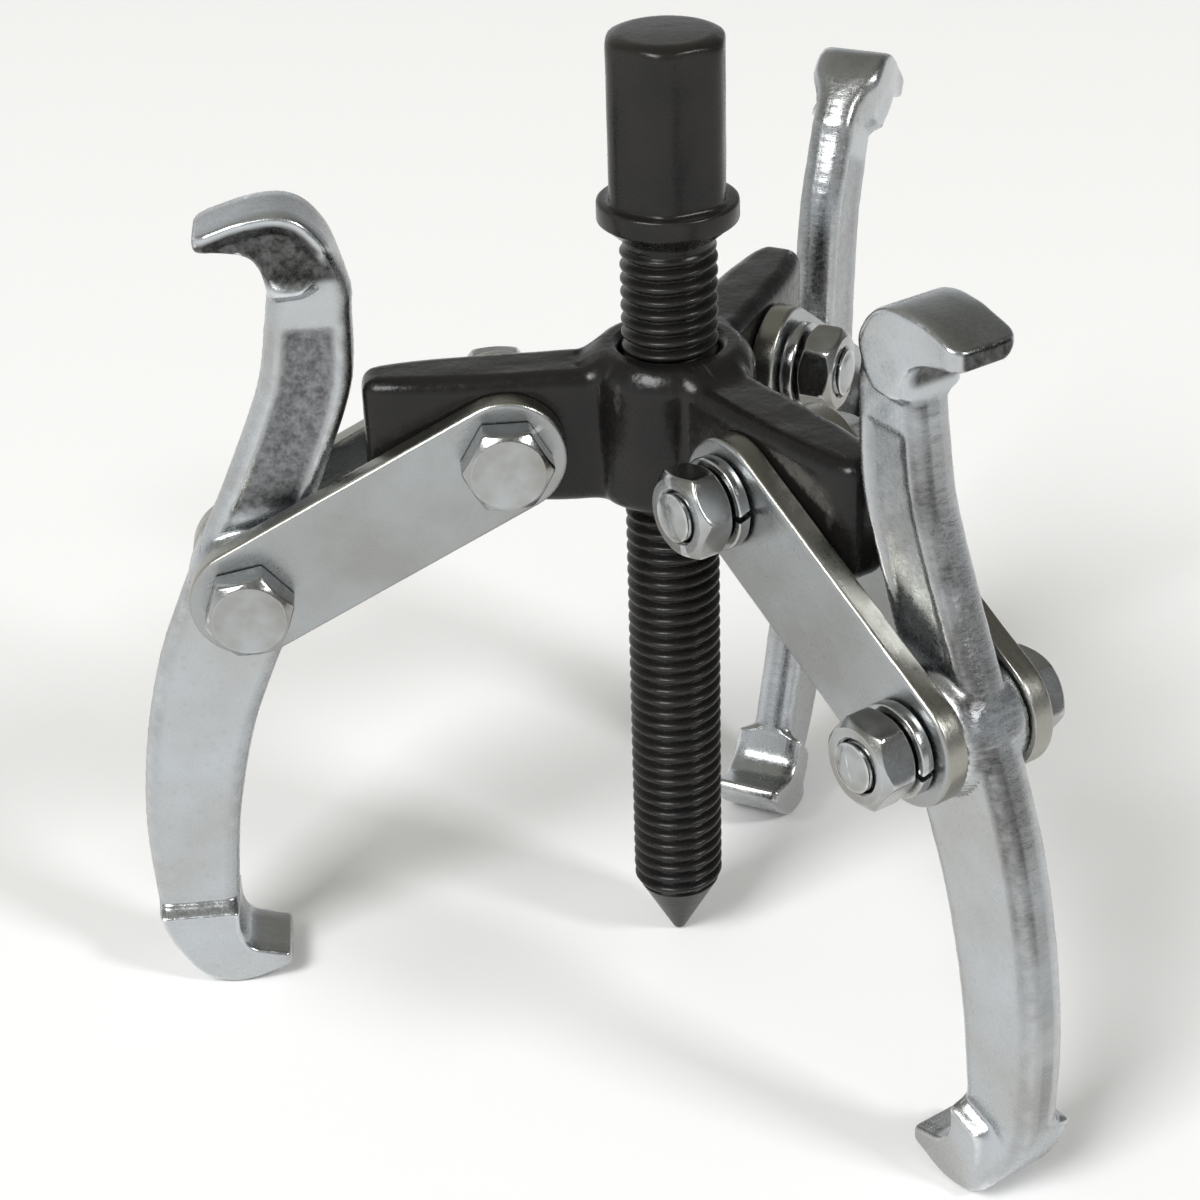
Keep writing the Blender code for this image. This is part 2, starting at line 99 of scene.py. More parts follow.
def spacedBy(weight, values, count):
    # picks count values so that the summed weight between neighbours is even
    steps = np.concatenate([[0.0], np.cumsum(0.5 * (weight[1:] + weight[:-1]))])
    return np.interp(np.linspace(0.0, steps[-1], count), steps, values)


def hexRadius(angle, acrossFlats, crispness):
    # polar radius of a hexagon: flats as a high p-norm, so its corners come out rounded
    total = 0.0
    for side in range(6):
        facing = np.maximum(np.cos(angle - math.pi / 6.0 - side * math.pi / 3.0), 0.0)
        total = total + facing ** crispness
    return 0.5 * acrossFlats / total ** (1.0 / crispness)


def softMin(a, b, blend):
    # the smaller of the two, rounded off where they cross
    h = np.clip(0.5 + 0.5 * (b - a) / blend, 0.0, 1.0)
    return b + (a - b) * h - blend * h * (1.0 - h)


def polar(radius, angle, z):
    # points at a radius and an angle round Z: r cos a, r sin a, z
    radius, angle, z = np.broadcast_arrays(radius, angle, z)
    return np.stack([radius * np.cos(angle), radius * np.sin(angle), z], axis=-1)


def ringIndex(row, cols):
    # vertex numbers of one ring: row times cols, plus 0 to cols - 1
    return np.arange(cols) + row * cols


def gridFaces(rows, cols, joined):
    # each point, its neighbour round the ring and the same two on the next ring
    index = np.arange(rows * cols).reshape(rows, cols)
    low = index if joined else index[:-1]
    high = np.roll(index, -1, axis=0) if joined else index[1:]
    corners = [low, np.roll(low, -1, axis=1), np.roll(high, -1, axis=1), high]
    return np.stack(corners, axis=-1).reshape(-1, 4)


def cleanMesh(mesh, distance, faceOut=False):
    # joins vertices closer than the distance, drops faces this flattens, turns faces outwards if asked
    bm = bmesh.new()
    bm.from_mesh(mesh)
    if distance:
        bmesh.ops.remove_doubles(bm, verts=bm.verts[:], dist=distance)
        bmesh.ops.dissolve_degenerate(bm, edges=bm.edges[:], dist=distance)
    if faceOut:
        bmesh.ops.recalc_face_normals(bm, faces=bm.faces[:])
        if bm.calc_volume(signed=True) < 0.0:
            bmesh.ops.reverse_faces(bm, faces=bm.faces[:])
    bm.to_mesh(mesh)
    bm.free()


def smoothFaces(mesh, sharp):
    # smooth shading, broken where faces meet at more than the angle in degrees
    mesh.shade_smooth()
    mesh.set_sharp_from_angle(angle=math.radians(sharp))


def makePiece(name, local, faces, caps, matrix, material, masks=None, sharp=40.0, merge=0.0):
    # local vertices in mm -> closed mesh in the row frame, faces outwards, own coordinates kept as "own"
    local, faces, masks = np.asarray(local, float), faces.tolist(), masks or {}
    for ring in caps:
        centre = np.full(len(ring), len(local))
        local = np.vstack([local, local[ring].mean(axis=0)])
        faces += np.stack([ring, np.roll(ring, -1), centre], axis=-1).tolist()
        masks = {key: np.append(values, values[ring].mean()) for key, values in masks.items()}
    turned = local @ np.array(matrix.to_3x3()).T * mm + np.array(matrix.translation)
    mesh = bpy.data.meshes.new(name)
    mesh.from_pydata(turned.tolist(), [], faces)
    own = mesh.attributes.new("own", "FLOAT_VECTOR", "POINT")
    own.data.foreach_set("vector", local.astype(np.float32).ravel())
    for key, values in masks.items():
        layer = mesh.attributes.new(key, "FLOAT", "POINT")
        layer.data.foreach_set("value", np.asarray(values, np.float32).ravel())
    cleanMesh(mesh, merge, True)
    smoothFaces(mesh, sharp)
    mesh.materials.append(material)
    piece = bpy.data.objects.new(name, mesh)
    bpy.context.scene.collection.objects.link(piece)
    return piece


def makeRings(name, grid, ends, matrix, material, **rest):
    # a piece from rings of points whose ends are "joined" to each other, "capped" or left "open"
    grid = np.asarray(grid)
    rows, cols = grid.shape[:2]
    caps = [ringIndex(0, cols), ringIndex(rows - 1, cols)] if ends == "capped" else []
    faces = gridFaces(rows, cols, ends == "joined")
    return makePiece(name, grid.reshape(-1, 3), faces, caps, matrix, material, **rest)


def cutHoles(piece, holes, sharp=40.0):
    # subtracts round holes; each is (matrix in the row frame, radius in mm, half length in mm)
    sides, offset = 48, 0.031    # the offset keeps the cutter's corners off the straps' straight rows
    angle = np.linspace(0.0, tau, sides, endpoint=False)[None, :] + offset
    cutters = []
    for matrix, radius, reach in holes:
        rings = polar(radius, angle, np.array([-reach, reach])[:, None])
        cutters.append(makeRings("holeCutter", rings, "capped", matrix, piece.data.materials[0]))
        cut = piece.modifiers.new("hole", "BOOLEAN")
        cut.operation = "DIFFERENCE"
        cut.solver = "EXACT"
        cut.object = cutters[-1]
    evaluated = piece.evaluated_get(bpy.context.evaluated_depsgraph_get())
    mesh = bpy.data.meshes.new_from_object(evaluated)
    piece.modifiers.clear()
    old = piece.data
    piece.data = mesh
    mesh.name = old.name
    bpy.data.meshes.remove(old)
    for cutter in cutters:
        bpy.data.objects.remove(cutter)
    cleanMesh(mesh, 1e-6)
    smoothFaces(mesh, sharp)


def finish(piece, body, nodes):
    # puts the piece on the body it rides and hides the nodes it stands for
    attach(piece, body)
    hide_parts(*nodes)


def addNode(tree, kind, sockets=None, **settings):
    # a node with its settings, whose inputs are given as values or as outputs to link
    made = tree.nodes.new(kind)
    for key, value in settings.items():
        setattr(made, key, value)
    for key, value in (sockets or {}).items():
        socket = made.inputs[key]
        if isinstance(value, bpy.types.NodeSocket):
            tree.links.new(value, socket)
        else:
            socket.default_value = value
    return made


def newGroup(name, inputs, outputs):
    # an empty group with sockets of kind v for vector, f for value and c for colour, and its two ends
    group = bpy.data.node_groups.new(name, "ShaderNodeTree")
    kinds = {"v": "NodeSocketVector", "f": "NodeSocketFloat", "c": "NodeSocketColor"}
    for label, kind, *value in inputs:
        socket = group.interface.new_socket(name=label, in_out="INPUT", socket_type=kinds[kind])
        if value:
            socket.default_value = value[0]
    for label, kind in outputs:
        group.interface.new_socket(name=label, in_out="OUTPUT", socket_type=kinds[kind])
    return group, addNode(group, "NodeGroupInput").outputs, addNode(group, "NodeGroupOutput").inputs


def maths(tree, operation, a, b=0.0, clamp=False):
    # a and b under one operation, kept between 0 and 1 if clamped
    return addNode(tree, "ShaderNodeMath", {0: a, 1: b}, operation=operation, use_clamp=clamp).outputs[0]


def times(tree, a, b, clamp=False):
    # a multiplied by b
    return maths(tree, "MULTIPLY", a, b, clamp)


def plus(tree, a, b):
    # a added to b
    return maths(tree, "ADD", a, b)


def remap(tree, value, low, high, newLow, newHigh):
    # low to high becomes newLow to newHigh in a straight line, flat outside
    sockets = {"Value": value, "From Min": low, "From Max": high, "To Min": newLow, "To Max": newHigh}
    return addNode(tree, "ShaderNodeMapRange", sockets).outputs["Result"]


def noise(tree, vector, scale, detail=3.0, rough=0.55):
    # layered noise of the vector times the scale, about 0.5 in the middle
    sockets = {"Vector": vector, "Scale": scale, "Detail": detail, "Roughness": rough}
    return addNode(tree, "ShaderNodeTexNoise", sockets).outputs["Fac"]


def mixColour(tree, factor, a, b):
    # a where the factor is 0, b where it is 1
    return addNode(tree, "ShaderNodeMix", {0: factor, 6: a, 7: b}, data_type="RGBA").outputs[2]


def makeEdgeWearAndHighlight():
    # convex edges from pointiness, broken up by noise: where wear and painted highlights go
    group, given, put = newGroup("edgeWearAndHighlight", [
        ("Vector", "v"), ("Start", "f", 0.52), ("End", "f", 0.58), ("Breakup", "f", 0.6)],
        [("Mask", "f")])
    pointed = addNode(group, "ShaderNodeNewGeometry").outputs["Pointiness"]
    edge = remap(group, pointed, given["Start"], given["End"], 0.0, 1.0)
    patches = remap(group, noise(group, given["Vector"], given["Breakup"]), 0.35, 0.6, 0.25, 1.0)
    group.links.new(times(group, edge, patches, True), put["Mask"])
    return group


def makeDrawnGrain():
    # fine lines: noise squeezed across one direction, as height and as a mask
    group, given, put = newGroup("drawnGrain", [
        ("Vector", "v"), ("Stretch", "v", (1.0, 1.0, 1.0)), ("Scale", "f", 1.0)],
        [("Height", "f"), ("Mask", "f")])
    squeezed = addNode(group, "ShaderNodeVectorMath", {0: given["Vector"], 1: given["Stretch"]},
                       operation="MULTIPLY").outputs[0]
    lines = noise(group, squeezed, given["Scale"], 4.0, 0.7)
    group.links.new(lines, put["Height"])
    group.links.new(remap(group, lines, 0.35, 0.68, 0.0, 1.0), put["Mask"])
    return group


def makeForgedSkin():
    # two sizes of lumps and a sparse scatter of pits
    group, given, put = newGroup("forgedSkin", [
        ("Vector", "v"), ("Lump", "f", 0.25), ("Pits", "f", 0.7)],
        [("Height", "f"), ("Pit", "f"), ("Patch", "f")])
    broad = noise(group, given["Vector"], given["Lump"], 2.0)
    fine = noise(group, given["Vector"], times(group, given["Lump"], 6.0), 4.0, 0.65)
    cells = addNode(group, "ShaderNodeTexVoronoi", {"Vector": given["Vector"], "Scale": given["Pits"]})
    pit = remap(group, cells.outputs["Distance"], 0.04, 0.30, 1.0, 0.0)
    height = plus(group, broad, times(group, fine, 0.35))
    group.links.new(maths(group, "SUBTRACT", height, times(group, pit, 0.10)), put["Height"])
    group.links.new(pit, put["Pit"])
    group.links.new(remap(group, fine, 0.35, 0.65, 0.0, 1.0), put["Patch"])
    return group


def makeCloudTint():
    # slow drift between two colours
    group, given, put = newGroup("cloudTint", [
        ("Vector", "v"), ("Size", "f", 0.05), ("First", "c"), ("Second", "c")],
        [("Color", "c")])
    drift = remap(group, noise(group, given["Vector"], given["Size"], 3.0), 0.35, 0.65, 0.0, 1.0)
    group.links.new(mixColour(group, drift, given["First"], given["Second"]), put["Color"])
    return group


edgeWearAndHighlight, drawnGrain = makeEdgeWearAndHighlight(), makeDrawnGrain()
forgedSkin, cloudTint = makeForgedSkin(), makeCloudTint()


def useGroup(tree, group, sockets):
    # the group placed in this tree with its inputs set; its outputs by name
    return addNode(tree, "ShaderNodeGroup", sockets, node_tree=group).outputs


def skinOn(tree, own, lump, pits):
    # forged skin with lumps and pits of these scales
    return useGroup(tree, forgedSkin, {"Vector": own, "Lump": lump, "Pits": pits})


def linesOn(tree, own, stretch, scale):
    # drawn grain squeezed by the stretch along each axis
    return useGroup(tree, drawnGrain, {"Vector": own, "Stretch": stretch, "Scale": scale})


def wearAndHighlightOn(tree, own, start, end, breakup):
    # worn edges with painted highlights, from none at the start to full at the end of that range of
    # pointiness
    return useGroup(tree, edgeWearAndHighlight, {"Vector": own, "Start": start, "End": end, "Breakup": breakup})["Mask"]


def tintOn(tree, own, size, first, second):
    # the two colours in slow clouds of this scale
    return useGroup(tree, cloudTint, {"Vector": own, "Size": size, "First": first, "Second": second})["Color"]


def newMaterial(name, socket, value):
    # an empty material with one shader constant set, and the piece's own coordinates in mm
    material = bpy.data.materials.new(name)
    material.use_nodes = True
    tree = material.node_tree
    shader = tree.nodes["Principled BSDF"]
    shader.inputs[socket].default_value = value
    own = addNode(tree, "ShaderNodeAttribute", attribute_name="own").outputs["Vector"]
    return material, tree, shader, own


def attribute(tree, name):
    # a mask kept in the mesh, 0 to 1
    return addNode(tree, "ShaderNodeAttribute", attribute_name=name).outputs["Fac"]


def satinFrom(tree, value, look):
    # roughness from the look's low to its high as the value goes from 0 to 1
    return remap(tree, value, 0.0, 1.0, look["roughLow"], look["roughHigh"])


def dress(tree, shader, look, base, roughness, height):
    # links the colour and the roughness, and tilts the normal by the height's slope
    bump = addNode(tree, "ShaderNodeBump", {
        "Height": height, "Strength": look["bump"], "Distance": look["relief"]})
    tree.links.new(base, shader.inputs["Base Color"])
    tree.links.new(roughness, shader.inputs["Roughness"])
    tree.links.new(bump.outputs["Normal"], shader.inputs["Normal"])


# edge: a lighter colour on convex edges, wear with a painted highlight
blackForging = {
    "constant": ("Specular IOR Level", 0.30), "first": (0.008, 0.0075, 0.0075, 1),
    "second": (0.012, 0.011, 0.010, 1), "cloud": 0.10, "edge": (0.10, 0.095, 0.09, 1), "edgeShare": 0.35,
    "wearAndHighlight": (0.53, 0.62, 0.8), "lump": 0.16, "pits": 0.45, "stretch": (1.0, 1.0, 1.0), "lineScale": 1.0,
    "satinLines": 0.0, "roughLow": 0.15, "roughHigh": 0.30, "skinHeight": 1.0, "lineHeight": 0.0,
    "bump": 0.25, "relief": 0.0006,
}
# edge: a lighter colour on convex edges, wear with a painted highlight
blackScrew = {
    "constant": ("Specular IOR Level", 0.28), "first": (0.009, 0.0085, 0.0085, 1),
    "second": (0.014, 0.013, 0.011, 1), "cloud": 0.12, "edge": (0.08, 0.076, 0.07, 1), "edgeShare": 0.40,
    "wearAndHighlight": (0.53, 0.60, 0.7), "lump": 0.35, "pits": 0.8, "stretch": (0.4, 0.4, 6.0), "lineScale": 1.0,
    "satinLines": 0.5, "roughLow": 0.18, "roughHigh": 0.34, "skinHeight": 1.0, "lineHeight": 0.4,
    "bump": 0.12, "relief": 0.0004,
}
# edge: a painted highlight colour on convex edges
zincStrap = {
    "constant": ("Metallic", 1.0), "first": (0.40, 0.42, 0.43, 1), "second": (0.33, 0.335, 0.33, 1),
    "cloud": 0.07, "cut": (0.34, 0.335, 0.30, 1), "edge": (0.85, 0.86, 0.85, 1), "edgeShare": 0.8,
    "wearAndHighlight": (0.52, 0.58, 0.5), "lump": 0.5, "pits": 0.35, "stretch": (0.18, 3.5, 3.5), "lineScale": 1.0,
    "satinLines": 0.5, "roughLow": 0.24, "roughHigh": 0.38, "skinHeight": 0.5, "lineHeight": 0.35,
    "bump": 0.16, "relief": 0.0004,
}
# edge: a painted highlight colour on convex edges
zincBolt = {
    "constant": ("Metallic", 1.0), "first": (0.44, 0.46, 0.47, 1), "second": (0.30, 0.29, 0.27, 1),
    "cloud": 0.14, "edge": (0.86, 0.87, 0.88, 1), "edgeShare": 0.7,
    "wearAndHighlight": (0.52, 0.58, 0.9), "lump": 0.6, "pits": 0.9, "stretch": (0.8, 0.8, 5.0), "lineScale": 1.2,
    "satinLines": 0.0, "roughLow": 0.15, "roughHigh": 0.27, "skinHeight": 0.6, "lineHeight": 0.25,
    "bump": 0.07, "relief": 0.0003,
}


def makeCoating(name, look):
    # two colours in clouds, the cut colour on that mask, the edge colour on convex edges:
    # wear with a painted highlight on the black parts, a painted highlight alone on the zinc;
    # satin and height are each a share of the forged skin plus a share of the drawn lines
    material, tree, shader, own = newMaterial(name, *look["constant"])
    skin = skinOn(tree, own, look["lump"], look["pits"])
    lines = linesOn(tree, own, look["stretch"], look["lineScale"])
    base = tintOn(tree, own, look["cloud"], look["first"], look["second"])
    if "cut" in look:
        base = mixColour(tree, attribute(tree, "cut"), base, look["cut"])
    edges = times(tree, wearAndHighlightOn(tree, own, *look["wearAndHighlight"]), look["edgeShare"])
    base = mixColour(tree, edges, base, look["edge"])
    lined = times(tree, lines["Mask"], look["satinLines"])
    satin = plus(tree, times(tree, skin["Patch"], 1.0 - look["satinLines"]), lined)
    scored = times(tree, lines["Height"], look["lineHeight"])
    height = plus(tree, times(tree, skin["Height"], look["skinHeight"]), scored)
    dress(tree, shader, look, base, satinFrom(tree, satin, look), height)
    return material


# dish: painted shade; seam: the seam's own dark, also painted shade on the claw top; bright: painted
# highlight
zincJaw = {
    "cool": (0.52, 0.55, 0.58, 1), "warm": (0.44, 0.445, 0.44, 1), "sunk": (0.11, 0.11, 0.115, 1),
    "dishShade": (0.035, 0.034, 0.032, 1), "seamAndShade": (0.085, 0.083, 0.08, 1), "pit": (0.16, 0.15, 0.14, 1),
    "edgeHighlight": (0.85, 0.87, 0.89, 1), "pitShare": 0.10, "edgeHighlightShare": 0.85, "cloud": 0.06,
    "roughLow": 0.17, "roughHigh": 0.30, "dullness": 0.08, "lump": 0.30, "pits": 0.55,
    "crumple": 0.17, "crumplePits": 1.0, "wrinkles": (0.8, 1.5, 0.45), "wrinkleScale": 1.5,
    "brushed": (0.5, 0.25, 7.0), "bump": 0.20, "relief": 0.0006,
}


def makeJawZinc():
    # clouded zinc, darker by the masks for panel, dish and seam, each broken up, lighter on convex edges:
    # the dish darkening is painted shade in and under the claw, the seam's also paints shade on the claw's
    # top, the lighter edges are a painted highlight
    look = zincJaw
    material, tree, shader, own = newMaterial("jawZinc", "Metallic", 1.0)
    sunk, seamAndShade, dishShade = attribute(tree, "sunk"), attribute(tree, "seamAndShade"), attribute(tree, "dishShade")
    skin = skinOn(tree, own, look["lump"], look["pits"])
    crumple = skinOn(tree, own, look["crumple"], look["crumplePits"])
    wrinkles = linesOn(tree, own, look["wrinkles"], look["wrinkleScale"])
    brushed = linesOn(tree, own, look["brushed"], 1.0)
    # a painted highlight on convex edges
    edgeHighlight = wearAndHighlightOn(tree, own, 0.515, 0.56, 0.5)
    patches = remap(tree, noise(tree, own, 0.13, 2.0), 0.36, 0.56, 0.5, 1.0)
    wrinkled = times(tree, patches, remap(tree, wrinkles["Mask"], 0.0, 1.0, 0.72, 1.0))
    base = tintOn(tree, own, look["cloud"], look["cool"], look["warm"])
    layers = [
        (times(tree, sunk, remap(tree, crumple["Patch"], 0.0, 1.0, 0.65, 1.0), True), "sunk"),
        # painted shade in and under the claw's dish
        (times(tree, dishShade, remap(tree, crumple["Patch"], 0.0, 1.0, 0.80, 1.0), True), "dishShade"),
        # the seam's own dark colour, with painted shade on the claw's top
        (times(tree, seamAndShade, wrinkled, True), "seamAndShade"),
        (times(tree, skin["Pit"], look["pitShare"]), "pit"),
        # painted highlight on convex edges
        (times(tree, edgeHighlight, look["edgeHighlightShare"]), "edgeHighlight"),
    ]
    for share, colour in layers:
        base = mixColour(tree, share, base, look[colour])
    dull = times(tree, plus(tree, sunk, seamAndShade), look["dullness"])
    coarse = times(tree, wrinkles["Height"], times(tree, seamAndShade, 1.2))
    dented = times(tree, crumple["Height"], plus(tree, times(tree, sunk, 0.6), 0.12))
    height = plus(tree, plus(tree, coarse, dented), times(tree, brushed["Height"], 0.12))
    dress(tree, shader, look, base, plus(tree, satinFrom(tree, skin["Patch"], look), dull), height)
    return material


forgedBlack, screwBlack = makeCoating("forgedBlack", blackForging), makeCoating("screwBlack", blackScrew)
jawZinc = makeJawZinc()
strapZinc, boltZinc = makeCoating("strapZinc", zincStrap), makeCoating("boltZinc", zincBolt)
print("materials made")


arms = {
    "left": {"swing": 0.0, "boltTurn": 0.0},     # toe swung in, and the fasteners' own turn, in degrees
    "right": {"swing": -0.9, "boltTurn": 7.0},
    "rear": {"swing": 28.0, "boltTurn": 14.0},
}


def armPlaces(arm):
    # straps' frame at the arm bolt (X along the straps, Z across) and jaw's frame at its own bolt (Y up)
    inner = Vector(joints[f"{arm}_strap_hinge"]["pos_m"])
    outer = Vector(joints[f"{arm}_jaw_hinge"]["pos_m"])
    out = Vector((inner.x, inner.y, 0.0)).normalized()
    up = Vector((0.0, 0.0, 1.0))
    basis = Matrix((out, up, out.cross(up))).transposed().to_4x4()
    span = outer - inner
    droop = math.atan2(-span.z, math.hypot(span.x, span.y))
    straps = Matrix.Translation(inner) @ basis @ Matrix.Rotation(-droop, 4, "Z")
    swing = math.radians(arms[arm]["swing"])
    jaw = Matrix.Translation(outer) @ basis @ Matrix.Rotation(-swing, 4, "Z")
    return straps, jaw, span.length / mm, droop


yokeShape = {
    "halfArm": 4.7, "hubRadius": 10.5, "webFillet": 7.0, "edge": 2.1, "bore": 6.14, "boreChamfer": 0.9,
    "armTop": 9.15, "hubTop": 10.8, "tipBottom": 6.3, "hubBottom": 8.6, "tipCorner": 3.2, "tipGap": 0.05,
    "holeRadius": 3.12, "hubBlend": 2.2, "lump": 0.10, "lumpSize": 9.0, "columns": 720,
}


def yokeOutline(shape, endRadius):
    # polar radius of a three-armed star joined to the hub's circle, sampled evenly along its length
    angle = np.linspace(0.0, tau, 7200, endpoint=False)
    bisector = math.radians(60.0)
    away = np.mod(angle, 2.0 * bisector) - bisector    # angle from the nearest arm's middle
    half, fillet, hub, blend = (shape[key] for key in ("halfArm", "webFillet", "hubRadius", "hubBlend"))
    side = half / np.maximum(np.abs(np.sin(away)), 1e-6)
    end = endRadius / np.cos(away)
    # rounded tip: the p-norm of the two distances falls inside their crossing
    power = 14.0 / shape["tipCorner"]
    arm = (side ** -power + end ** -power) ** (-1.0 / power)
    # a round fillet between two arms, from its centre on the bisector out to where it touches their sides
    centre = (half + fillet) / math.sin(bisector)
    off = bisector - np.abs(away)
    under = np.maximum(fillet ** 2 - (centre * np.sin(off)) ** 2, 0.0)
    web = np.where(centre * np.sin(off) < fillet, centre * np.cos(off) - np.sqrt(under), 0.0)
    tangent = centre * math.cos(bisector)
    inWeb = (arm < tangent) | ((web < arm) & (np.abs(away) > 0.2))
    star = np.where(inWeb & (web > 0.0), web, arm)
    h = np.clip(0.5 + 0.5 * (star - hub) / blend, 0.0, 1.0)
    radius = hub + (star - hub) * h + blend * h * (1.0 - h) * 0.5
    xy = np.stack([radius * np.cos(angle), radius * np.sin(angle)], axis=-1)
    steps = np.linalg.norm(np.roll(xy, -1, axis=0) - xy, axis=1)
    length = np.concatenate([[0.0], np.cumsum(steps)])
    at = np.linspace(0.0, length[-1], shape["columns"], endpoint=False)
    closed = np.vstack([xy, xy[:1]])
    return np.stack([np.interp(at, length, closed[:, k]) for k in (0, 1)], axis=-1)


def makeYoke():
    # rings from the bore's top edge over the top, round the edge, down the sides, under and up the bore
    shape = yokeShape
    endRadius = -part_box("yoke")[0].x / mm - shape["tipGap"]
    outline = yokeOutline(shape, endRadius)
    tangent = np.roll(outline, -1, axis=0) - np.roll(outline, 1, axis=0)
    tangent /= np.linalg.norm(tangent, axis=1, keepdims=True)
    inward = np.stack([-tangent[:, 1], tangent[:, 0]], axis=-1)
    edge, chamfer, hubTop, hubBottom = (shape[key] for key in ("edge", "boreChamfer", "hubTop", "hubBottom"))
    bore = outline / np.linalg.norm(outline, axis=1)[:, None]

    def topHeight(xy):
        # arm tops level, the hub standing proud with a soft shoulder round it
        r = np.linalg.norm(xy, axis=-1)
        rise = 1.0 - smoothStep(shape["hubRadius"] - 2.6, shape["hubRadius"] + 1.4, r)
        return shape["armTop"] + (hubTop - shape["armTop"]) * rise

    def bottomHeight(xy):
        # undersides rise a little from the hub out to the arms' ends
        r = np.linalg.norm(xy, axis=-1)
        fall = smoothStep(shape["hubRadius"], endRadius, r)
        return -hubBottom + (hubBottom - shape["tipBottom"]) * fall

    def levelRing(t, height):
        # from the bore's chamfer at 0 to where the edge starts to round at 1
        ring = chamferRing + (outline + inward * edge - chamferRing) * t
        return np.column_stack([ring, height(ring)])

    def roundRing(a, height, down):
        # the edge's quarter circle, from level at 0 to upright at a quarter turn
        ring = outline + inward * edge * (1.0 - math.sin(a))
        return np.column_stack([ring, height(ring) - down * edge * (1.0 - math.cos(a))])

    chamferRing = bore * (shape["bore"] + chamfer)
    arc = np.linspace(0.0, math.pi / 2.0, 9)
    spread = np.linspace(0.0, 1.0, 26) ** 1.15
    rows = [levelRing(t, topHeight) for t in spread]
    rows += [roundRing(a, topHeight, 1.0) for a in arc[1:]]
    topSide, bottomSide = rows[-1][:, 2], bottomHeight(outline) + edge
    rows += [np.column_stack([outline, topSide + (bottomSide - topSide) * t])
             for t in np.linspace(0.0, 1.0, 14)[1:-1]]
    rows += [roundRing(a, bottomHeight, -1.0) for a in arc[::-1]]
    rows += [levelRing(t, bottomHeight) for t in spread[::-1][1:]]
    for t in np.linspace(0.0, 1.0, 12):
        z = -hubBottom + chamfer + (hubTop + hubBottom - 2.0 * chamfer) * t
        rows.append(np.column_stack([bore * shape["bore"], np.full(len(bore), z)]))
    grid = np.array(rows)
    x, y, z = grid[..., 0], grid[..., 1], grid[..., 2]
    outside = smoothStep(shape["bore"] + 1.0, shape["bore"] + 4.0, np.hypot(x, y))
    grid[..., 2] -= shape["lump"] * outside * (0.5 + 0.5 * lumps(x, y, z, shape["lumpSize"], 3)) * np.sign(z)
    matrix = Matrix.Translation((0.0, 0.0, joints["left_strap_hinge"]["pos_m"][2]))
    piece = makeRings("forgedYoke", grid, "joined", matrix, forgedBlack, sharp=50.0)
    cutHoles(piece, [(armPlaces(arm)[0], shape["holeRadius"], shape["halfArm"] + 2.0) for arm in arms], 50.0)
    finish(piece, "yoke", ["yoke"])


makeYoke()
print("yoke made")


screwShape = {
    "radius": 5.95, "pitch": 1.75, "threadDepth": 1.0, "runOut": 0.35, "rowsPerPitch": 9, "columns": 120,
    "pointFlat": 0.85, "pointLength": 9.4, "flangeRadius": 8.6, "coneHeight": 2.2, "rimHeight": 2.6,
    "acrossFlats": 13.95, "crispness": 9.0, "headTurn": -99.5, "headHeight": 20.4, "topRound": 2.6,
    "crown": 0.12, "swell": 0.006,
}


def threadDepthAt(share):
    # rounded V: flat crest, sloping flanks and a round root, share runs over one pitch
    wave = np.abs(np.mod(share, 1.0) - 0.5) * 2.0
    return smoothStep(0.18, 0.92, wave)


